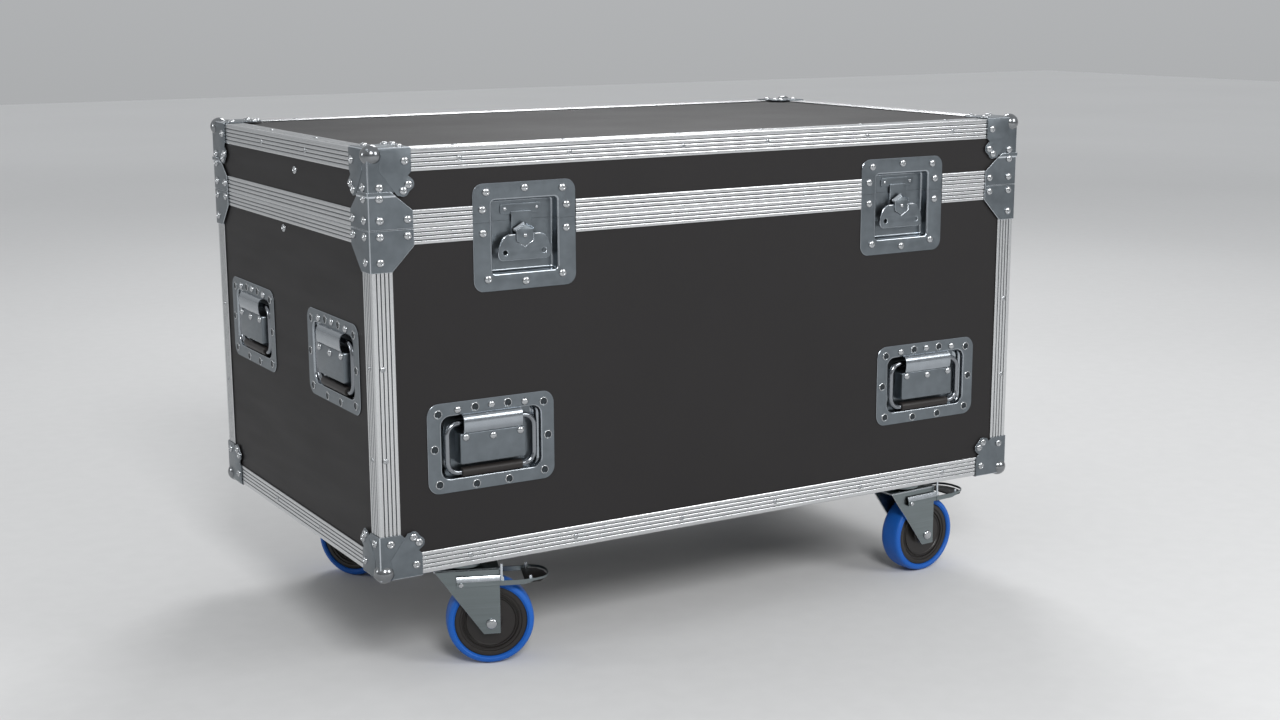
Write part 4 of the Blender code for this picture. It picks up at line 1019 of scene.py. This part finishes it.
def boss():
    """Six-sided boss, one corner up, on its round shaft. Above the wing it flares backwards."""
    shaft = 0.0050
    rings = []
    for radius, flare, depth in (
        (shaft, 1.0, 0.0158), (shaft, 1.0, 0.0066), (0.0142, 1.26, 0.0060), (0.0145, 1.26, 0.0046),
        (0.0145, 1.0, 0.0013), (0.0143, 1.0, 0.0009), (0.0140, 1.0, 0.0008),
    ):
        ring = []
        for step in range(60):
            angle = math.radians(step * 6 + 90)
            side = math.radians((step * 6) % 60 - 30)
            reach = radius
            if radius > shaft:
                reach = radius * math.cos(math.pi / 6) / math.cos(side)
            if flare > 1 and math.sin(angle) > 0.35:
                reach *= flare
            ring.append((reach * math.cos(angle), depth, reach * math.sin(angle)))
        rings.append(ring)
    mesh = loft("boss", rings)
    # The upward flare faces take the light edge finish: a painted highlight on the upper facets.
    for face in mesh.polygons:
        if 0.0014 < face.center.y < 0.0045 and face.normal.z > 0.3 and face.normal.y < -0.3:
            face.material_index = 1
    return mesh


def butterfly():
    """Bell-shaped plate with a notch round the boss and two holes. Its pin is at Y and Z zero."""
    flat = 0.0131
    point = 0.0151
    right = [(flat, -point / 2), (flat, 0.0016), (flat + 0.0008, 0.0025), (0.0180, 0.0025)]
    right += [(0.0240, 0.0021), (0.0290, 0.0004), (0.0332, -0.0034), (0.0360, -0.0084), (0.0382, -0.0140)]
    right += [(0.0396, -0.0195), (0.0400, -0.0232), (0.0394, -0.0272), (0.0376, -0.0306), (0.0350, -0.0324)]
    right += [(0.0320, -0.0330)]
    left = [(-x, z) for x, z in reversed(right)]
    outline = [(0.0, -point)] + right + left
    holes = [arc((side * 0.029, -0.022), 0.0034, 0, 345, 23) for side in (-1, 1)]
    return plate("wing", outline, holes, 0.0024, 0.0009, XZ, -0.0015, 3)


def lugs():
    """The pin's visible ends on the wing's top edge."""
    end, bend = 0.0043, 0.0040
    profile = [(0.0, -end), (0.0013, -end), (0.0016, -bend), (0.0016, bend), (0.0013, end), (0.0, end)]
    spin = Matrix.Rotation(math.pi / 2, 4, "Y")
    places = [at(side * 0.0195, 0.0, 0.0010) @ spin for side in (-1, 1)]
    return many("lugs", lathe("lug", profile, 16), places)


WHOLE_DISH = latch_dish()
LID_DISH = half_of(WHOLE_DISH, 1)
BODY_DISH = half_of(WHOLE_DISH, -1)
# Keeper: a flat bar with round corners, riveted to the recess
KEEPER_MESH = plate("keeper", rounded(0.0305, 0.008, 0.022, 0.0035, 4), [], 0.0014, 0.0005, XZ, KEEPER_FACE)
# Hook: a flat strip with a slot for the spindle's shaft, and the lip at its top that lies over the keeper
SLOT = rounded(0.0054, SPINDLE_Z - 0.0154, SPINDLE_Z + 0.0054, 0.0050, 4)
STRIP = rounded(0.015, -0.040, -0.0025, 0.0012, 3)
HOOK_SHEET = 0.0018
HOOK_MESH = plate("hook", STRIP, [SLOT], HOOK_SHEET, 0.0003, XZ, POCKET_FLOOR - 0.0004 - HOOK_SHEET)
LIP = rounded(0.015, -0.0125, 0.0118, 0.0016, 4)
LIP_MESH = plate("hook_lip", LIP, [], 0.0022, 0.0008, XZ, KEEPER_FACE - 0.0023)
BOSS_MESH = boss()
WING_MESH = butterfly()
LUG_MESH = lugs()
MIDDLE = (LATCH_TOP + LATCH_LOW) / 2
LATCH_RIVETS = [(0.0, 0.064 + MIDDLE), (0.0, -0.0615 + MIDDLE)]
for side in (-1, 1):
    for x, z in ((0.057, 0.061), (0.063, 0.038), (0.0625, 0.0065), (0.056, -0.0555)):
        LATCH_RIVETS.append((side * x, z + MIDDLE))
KEEPER_HEAD = cap(0.0026, 0.0014)
CENTRE_HEAD = cap(0.0032, 0.0022)
for side, (low, high) in LATCH_BOXES.items():
    place = on_face("front", (low.x + high.x) / 2, LID_LINE)
    name = f"{side}_latch"
    # The recess walls of both halves take the lighter zinc: painted light.
    show(f"{name}_lid_half", LID_DISH, ZINC, "lid", place, ZINC_PAINTED_LIGHT, f"{name}_lid_dish")
    show(f"{name}_body_half", BODY_DISH, ZINC, "body", place, ZINC_PAINTED_LIGHT, f"{name}_body_dish")
    show(f"{name}_keeper", KEEPER_MESH, ZINC, "lid", place, ZINC_EDGE_HIGHLIGHT)
    heads = on(place, KEEPER_FACE, [(-0.024, 0.0150), (0.024, 0.0150)])
    studs(f"{name}_keeper_rivets", KEEPER_HEAD, heads, "lid")
    upper = [spot for spot in LATCH_RIVETS if spot[1] > 0]
    lower = [spot for spot in LATCH_RIVETS if spot[1] <= 0]
    studs(f"{name}_lid_rivets", BIG_DOME, on(place, DISH_FACE, upper), "lid")
    studs(f"{name}_body_rivets", BIG_DOME, on(place, DISH_FACE, lower), "body")
    hook, turning, wing = f"{name}_hook", f"{name}_turn", f"{name}_wing"
    show(f"{name}_strip", HOOK_MESH, ZINC, hook, place, ZINC_EDGE_HIGHLIGHT, hook)
    show(f"{name}_lip", LIP_MESH, ZINC, hook, place, ZINC_EDGE_HIGHLIGHT)
    axis = place @ at(0, 0, SPINDLE_Z)
    node = f"{name}_spindle"
    show(f"{name}_boss", BOSS_MESH, ZINC, turning, axis, ZINC_EDGE_HIGHLIGHT, node, bevel=0.0003, angle=25.0)
    studs(f"{name}_boss_rivet", CENTRE_HEAD, [axis @ at(0, 0.0008, 0) @ OUT], turning)
    fold = axis @ at(0, WING_DEPTH, 0)
    show(f"{name}_butterfly", WING_MESH, ZINC, wing, fold, ZINC_EDGE_HIGHLIGHT, wing)
    show(f"{name}_lugs", LUG_MESH, RIVET, wing, fold)


# Hinges, kept from the solids, with their rivets
LEAF_FACE = -0.0017
for side in ("left", "right"):
    for body, lift in (("lid", 0.0030), ("body", -0.0030)):
        node = f"{side}_hinge_{body}_leaf"
        dress(node, ZINC, 0.0003, 2)
        low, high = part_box(node)
        middle = (low + high) / 2
        heads = []
        for shift in (-0.025, 0.0, 0.025):
            spot = on_face("back", -(middle.x + shift), middle.z + lift)
            heads.append(spot @ at(0, LEAF_FACE, 0) @ OUT)
        studs(f"{side}_hinge_{body}_rivets", SMALL_DOME, heads, body)


# Casters, in the fork's frame: X towards the wheel, the swivel's axis at zero, the axle at TRAIL
TRAIL = 0.036
FORK_BACK = TRAIL - 0.079
FORK_FRONT = TRAIL + 0.0126
FORK_HALF = 0.0255
FORK_INSIDE = 0.0225
FORK_SHEET = 0.003
CROWN_TOP = 0.0813
CROWN_LOW = 0.0783
MOUNT_SHEET = 0.0035
MOUNT_LEVEL = SKIN - MOUNT_SHEET
BOLT_SPOTS = [(x, y) for x in (-0.040, 0.040) for y in (-0.029, 0.029)]
FORK_OUTLINE = [
    (FORK_BACK, CROWN_TOP), (FORK_BACK + 0.0005, 0.0800), (TRAIL - 0.0118, -0.0135),
    (TRAIL - 0.0105, -0.0148), (TRAIL + 0.0118, -0.0148), (FORK_FRONT, -0.0140),
    (FORK_FRONT, CROWN_TOP),
]
CROWN_OUTLINE = [
    (FORK_BACK, -FORK_HALF), (FORK_FRONT, -FORK_HALF), (FORK_FRONT, FORK_HALF), (FORK_BACK, FORK_HALF),
]


def races(top, low):
    """Bearing races between the plate and the fork."""
    upper = [
        (0.0075, top), (0.0300, top), (0.0316, top - 0.0020), (0.0320, top - 0.0044),
        (0.0310, top - 0.0072), (0.0276, top - 0.0100), (0.0075, top - 0.0100),
    ]
    lower = [
        (0.0, top - 0.0104), (0.0268, top - 0.0104), (0.0294, top - 0.0118),
        (0.0286, (top - 0.0118 + low) / 2 - 0.0010), (0.0236, low), (0.0, low),
    ]
    return lathe("upper_race", upper, 40, closed=True), lathe("lower_race", lower, 40)


def wheel_parts():
    """Tyre and hub as two turned pieces, laid along Y. Each profile is mirrored in the wheel's middle."""
    half = 0.019
    tyre = [
        (0.0510, 0.0128), (0.0514, 0.0172), (0.0518, 0.0180), (0.0524, 0.0180), (0.0528, 0.0176),
        (0.0534, half - 0.0006), (0.0542, half), (0.0568, half - 0.0002), (0.0592, half - 0.0012),
        (0.0606, half - 0.0034), (0.0614, half - 0.0066), (0.0618, 0.0080), (0.0619, 0.0030),
    ]
    hub = [
        (0.0064, 0.0218), (0.0136, 0.0218), (0.0142, 0.0212), (0.0150, 0.0150), (0.0170, 0.0134),
        (0.0344, 0.0134), (0.0352, 0.0140), (0.0360, 0.0152), (0.0368, 0.0150), (0.0376, 0.0136),
        (0.0386, 0.0136), (0.0396, 0.0158), (0.0404, 0.0158), (0.0412, 0.0146), (0.0436, 0.0146),
        (0.0444, 0.0160), (0.0456, 0.0164), (0.0492, 0.0166), (0.0508, 0.0160), (0.0513, 0.0142),
        (0.0509, 0.0120),
    ]
    made = []
    for name, profile in (("tyre", tyre), ("hub", hub)):
        whole = profile + [(radius, -height) for radius, height in reversed(profile)]
        mesh = lathe(name, whole, 96, closed=True)
        mesh.transform(OUT)
        made.append(mesh)
    return made


# Round-headed axle ends outside the fork
AXLE_END = [
    (0.0079, -0.0001), (0.0079, 0.0010), (0.0072, 0.0022), (0.0060, 0.0030), (0.0054, 0.0033),
    (0.0, 0.0033),
]
WASHER_TOP = 0.0012
WASHER = [
    (0.0, 0.0), (0.0080, 0.0), (0.0084, 0.0003), (0.0084, 0.0009), (0.0080, WASHER_TOP),
    (0.0, WASHER_TOP),
]


def bolt_head():
    """Six-sided bolt head above its washer, pointing up."""
    rings = []
    for radius, height in ((0.0068, 0.0), (0.0068, 0.0036), (0.0060, 0.0042)):
        rings.append([(x, y, height + WASHER_TOP) for x, y in arc((0, 0), radius, 0, 300, 5)])
    return loft("head", rings)


# Brake lever
ARM_INSIDE = 0.0258
ARM_LOW = 0.0572
ARM_BEND = 0.0645
ARM_ENDS = (-0.048, 0.0126)
ARM_SECTION = [
    (0.0, ARM_LOW), (0.0056, ARM_LOW), (0.0060, 0.0576), (0.0060, ARM_BEND), (0.0030, 0.0714),
    (0.0020, 0.0712), (0.0044, 0.0641), (0.0044, 0.0588), (0.0, 0.0588),
]


def brake_arm(side):
    """Lever arm outside one side plate, with its sloped top flange. Axle at X and Z zero."""
    section = [(side * (ARM_INSIDE + out), level) for out, level in ARM_SECTION]
    mesh = loft("brake_arm", [[(x, y, z) for y, z in section] for x in ARM_ENDS])
    # The sloped top flange takes the light edge finish: a painted highlight.
    for face in mesh.polygons:
        if 0.2 < face.normal.z < 0.7 and face.normal.y * side > 0:
            face.material_index = 1
    return mesh


def brake_loop():
    """The thin part that runs on round the front of the wheel as the pedal's rim."""
    line = [(ARM_ENDS[1], 0.0316), (0.0560, 0.0316), (0.0640, 0.0300)]
    line += [(0.0740, 0.0246), (0.0800, 0.0160), (0.0825, 0.0060)]
    path = smooth_line(line)
    whole = path + [(x, -y) for x, y in reversed(path)]
    half, flat, edge = 0.0008, 0.0005, 0.0003
    rings = []
    for index, (x, y) in enumerate(whole):
        way = heading(whole, index)
        along = min(max((x - 0.0500) / 0.0100, 0.0), 1.0)
        low = ARM_LOW + 0.0048 * along
        high = ARM_BEND + 0.0010 * along
        section = [(-half, low + edge), (-flat, low), (flat, low), (half, low + edge)]
        section += [(half, high - edge), (flat, high), (-flat, high), (-half, high - edge)]
        rings.append([(x - way.y * out, y + way.x * out, level) for out, level in section])
    return loft("brake_loop", rings)


# Pedal: flat between the arms, ahead of the fork, with two upright tabs and a post
PEDAL_SIDE = [(0.0480, 0.0306), (0.0560, 0.0306), (0.0700, 0.0270), (0.0790, 0.0140)]
PEDAL_OUTLINE = [(x, -y) for x, y in PEDAL_SIDE] + [(0.0815, 0.0)] + PEDAL_SIDE[::-1]
TAB = [
    (0.0535, 0.0600), (0.0575, 0.0600), (0.0575, 0.0686), (0.0565, 0.0696), (0.0545, 0.0696),
    (0.0535, 0.0686),
]
POST = [
    (0.0132, 0.0600), (0.0182, 0.0600), (0.0182, 0.0690), (0.0165, 0.0700), (0.0165, 0.0880),
    (0.0160, 0.0886), (0.0137, 0.0886), (0.0132, 0.0880),
]
PIN = [(0.0, 0.0), (0.0020, 0.0), (0.0034, 0.0004), (0.0034, 0.0014), (0.0028, 0.0020), (0.0, 0.0022)]
PIN_X, PIN_Y, PIN_Z = -0.042, 0.0320, 0.06085

SIDE_MESHES = []
for low in (-FORK_HALF, FORK_INSIDE):
    SIDE_MESHES.append(plate("fork_side", FORK_OUTLINE, [], FORK_SHEET, 0.0004, XZ, low))
CROWN_MESH = plate("crown", CROWN_OUTLINE, [], FORK_SHEET, 0.0006, low=CROWN_LOW)
TYRE_MESH, HUB_MESH = wheel_parts()
AXLE_SPOTS = [at(TRAIL, -FORK_HALF, 0) @ OUT, at(TRAIL, FORK_HALF, 0) @ INWARDS]
AXLE_MESH = many("axle_heads", lathe("axle_head", AXLE_END, 32), AXLE_SPOTS)
BOLT_HOLES = [arc(spot, 0.0045, 0, 330, 11) for spot in BOLT_SPOTS]
PLATE_MESH = plate("mount_plate", rounded(0.050, -0.038, 0.038, 0.006, 4), BOLT_HOLES, MOUNT_SHEET, 0.0005)
BOLT_MESH, WASHER_MESH = bolt_head(), lathe("washer", WASHER, 24)
ARM_MESHES, LOOP_MESH = [brake_arm(-1), brake_arm(1)], brake_loop()
PIN_SPOTS = [at(PIN_X, -PIN_Y, PIN_Z) @ OUT, at(PIN_X, PIN_Y, PIN_Z) @ INWARDS]
PIN_MESH = many("pins", lathe("pin", PIN, 20), PIN_SPOTS)
PEDAL_MESH = plate("pedal", PEDAL_OUTLINE, [], 0.0022, 0.0004, low=0.0588)
TAB_MESHES = [plate("tab", TAB, [], 0.0014, 0.0003, XZ, low) for low in (-0.0308, 0.0294)]
TAB_MESHES.append(plate("post", POST, [], 0.0016, 0.0003, XZ, -0.0308))
joints = {joint["name"]: joint for joint in frame["joints"]}
for name in CORNERS:
    swivel = Vector(joints[f"{name}_swivel"]["pos_m"])
    axle = Vector(joints[f"{name}_roll"]["pos_m"])
    turn = math.atan2(axle.y - swivel.y, axle.x - swivel.x)
    fixed = at(swivel.x, swivel.y, CASE_BOTTOM)
    hang = at(swivel.x, swivel.y, axle.z) @ Matrix.Rotation(turn, 4, "Z")
    on_axle = hang @ at(TRAIL, 0, 0)
    upper, lower = races(MOUNT_LEVEL + (CASE_BOTTOM - axle.z), CROWN_TOP)
    turning, rolling, lever = f"{name}_caster", f"{name}_wheel", f"{name}_brake"
    top = fixed @ at(0, 0, MOUNT_LEVEL)
    show(f"{name}_mount", PLATE_MESH, FORK, "body", top, ZINC_EDGE_HIGHLIGHT, f"{turning}_plate")
    show(f"{name}_upper_race", upper, FORK, "body", hang)
    spots = [fixed @ at(x, y, MOUNT_LEVEL) @ DOWN for x, y in BOLT_SPOTS]
    show(f"{name}_bolts", many("bolts", BOLT_MESH, spots), RIVET, "body", bevel=0.0003)
    studs(f"{name}_washers", WASHER_MESH, spots, "body")
    for number, mesh in enumerate(SIDE_MESHES):
        node = None if number else f"{turning}_fork"
        show(f"{name}_fork_side_{number}", mesh, FORK, turning, hang, ZINC_EDGE_HIGHLIGHT, node)
    show(f"{name}_crown", CROWN_MESH, FORK, turning, hang, ZINC_EDGE_HIGHLIGHT)
    show(f"{name}_lower_race", lower, FORK, turning, hang)
    show(f"{name}_axle_heads", AXLE_MESH, RIVET, turning, hang)
    show(f"{name}_tyre", TYRE_MESH, TYRE, rolling, on_axle, None, f"{turning}_wheel")
    show(f"{name}_hub", HUB_MESH, HUB, rolling, on_axle)
    if lever not in frame["nodes"]:
        continue
    for number, mesh in enumerate(ARM_MESHES):
        node = None if number else lever
        show(f"{lever}_arm_{number}", mesh, FORK, lever, on_axle, ZINC_EDGE_HIGHLIGHT, node)
    show(f"{lever}_loop", LOOP_MESH, FORK, lever, on_axle)
    show(f"{lever}_pedal", PEDAL_MESH, PEDAL, lever, on_axle, PEDAL)
    # The tabs and the post are shown wholly in the light edge finish: a painted highlight.
    for number, mesh in enumerate(TAB_MESHES):
        show(f"{lever}_tab_{number}", mesh, ZINC_EDGE_HIGHLIGHT, lever, on_axle, ZINC_EDGE_HIGHLIGHT)
    show(f"{lever}_pins", PIN_MESH, RIVET, turning, on_axle)


# Stage
def floor():
    """Plain pale floor, with painted light that makes it a little lighter far off."""
    made = bmesh.new()
    bmesh.ops.create_grid(made, x_segments=2, y_segments=2, size=14.0)
    mesh = finished("floor", made)
    obj = bpy.data.objects.new("floor", mesh)
    scene.collection.objects.link(obj)
    finish = Finish("pale_floor")
    grain = finish.noise(30.0, 3.0)
    slow = finish.noise(0.7, 2.0)
    reach = add_node(finish.tree, "ShaderNodeVectorMath", operation="LENGTH")
    finish.links.new(finish.place, reach.inputs[0])
    # Painted light: the floor's colour grows lighter with distance from the middle.
    far = finish.spread(reach.outputs["Value"], 0.64, 0.84, 2.5, 9.0)
    finish.tint((1.0, 1.0, 1.0), finish.spread(grain, -0.01, 0.01), finish.spread(slow, -0.01, 0.01), far)
    finish.rough(finish.spread(grain, 0.70, 0.80))
    mesh.materials.append(finish.shine(0.15))


def lamp(name, place, target, size, power):
    """Soft rectangular lamp aimed at a target."""
    data = bpy.data.lights.new(name, "AREA")
    data.shape = "RECTANGLE"
    data.size, data.size_y = size
    data.energy = power
    obj = bpy.data.objects.new(name, data)
    scene.collection.objects.link(obj)
    obj.location = place
    obj.rotation_euler = (Vector(target) - Vector(place)).to_track_quat("-Z", "Y").to_euler()


floor()
lamp("main", (-1.3, -3.9, 2.9), (-0.2, -0.2, 0.4), (1.25, 1.25), 112.0)
lamp("right_soft", (2.2, -3.5, 2.3), (0, -0.3, 0.5), (1.7, 1.7), 62.0)
lamp("back_soft", (1.6, 2.4, 3.4), (0, 0, 0.5), (1.5, 1.2), 60.0)
lamp("left_glint", (-3.1, 1.25, 1.1), (-0.5, 0, 0.5), (0.45, 0.7), 11.0)

# World: a plain grey that grows lighter upwards
world = bpy.data.worlds.new("studio")
scene.world = world
world.use_nodes = True
tree = world.node_tree
background = tree.nodes["Background"]
sky = add_node(tree, "ShaderNodeTexCoord")
facing = add_node(tree, "ShaderNodeVectorMath", {1: (0.15, 0.18, 0.97)}, operation="DOT_PRODUCT")
ends = {"From Min": -0.8, "From Max": 0.9, "To Min": 0.16, "To Max": 0.60}
fade = add_node(tree, "ShaderNodeMapRange", ends, interpolation_type="SMOOTHSTEP")
shade = add_node(tree, "ShaderNodeVectorMath", {0: (0.98, 1.0, 1.02)}, operation="SCALE")
tree.links.new(sky.outputs["Generated"], facing.inputs[0])
tree.links.new(facing.outputs["Value"], fade.inputs["Value"])
tree.links.new(fade.outputs["Result"], shade.inputs["Scale"])
tree.links.new(shade.outputs["Vector"], background.inputs["Color"])
background.inputs["Strength"].default_value = 1.0

# Camera
eye = bpy.data.cameras.new("eye")
eye.lens = 50.73
eye.sensor_width = 36.0
camera = bpy.data.objects.new("eye", eye)
scene.collection.objects.link(camera)
forward = Vector((0.49808, 0.84395, -0.19915)).normalized()
right = Vector((0.86076, -0.50897, -0.00413)).normalized()
up = right.cross(forward).normalized()
right = forward.cross(up).normalized()
turned = Matrix((right, up, -forward)).transposed().to_4x4()
turned.translation = (-1.4078, -2.4584, 0.9276)
camera.matrix_world = turned
scene.camera = camera
scene.view_settings.view_transform = "Standard"
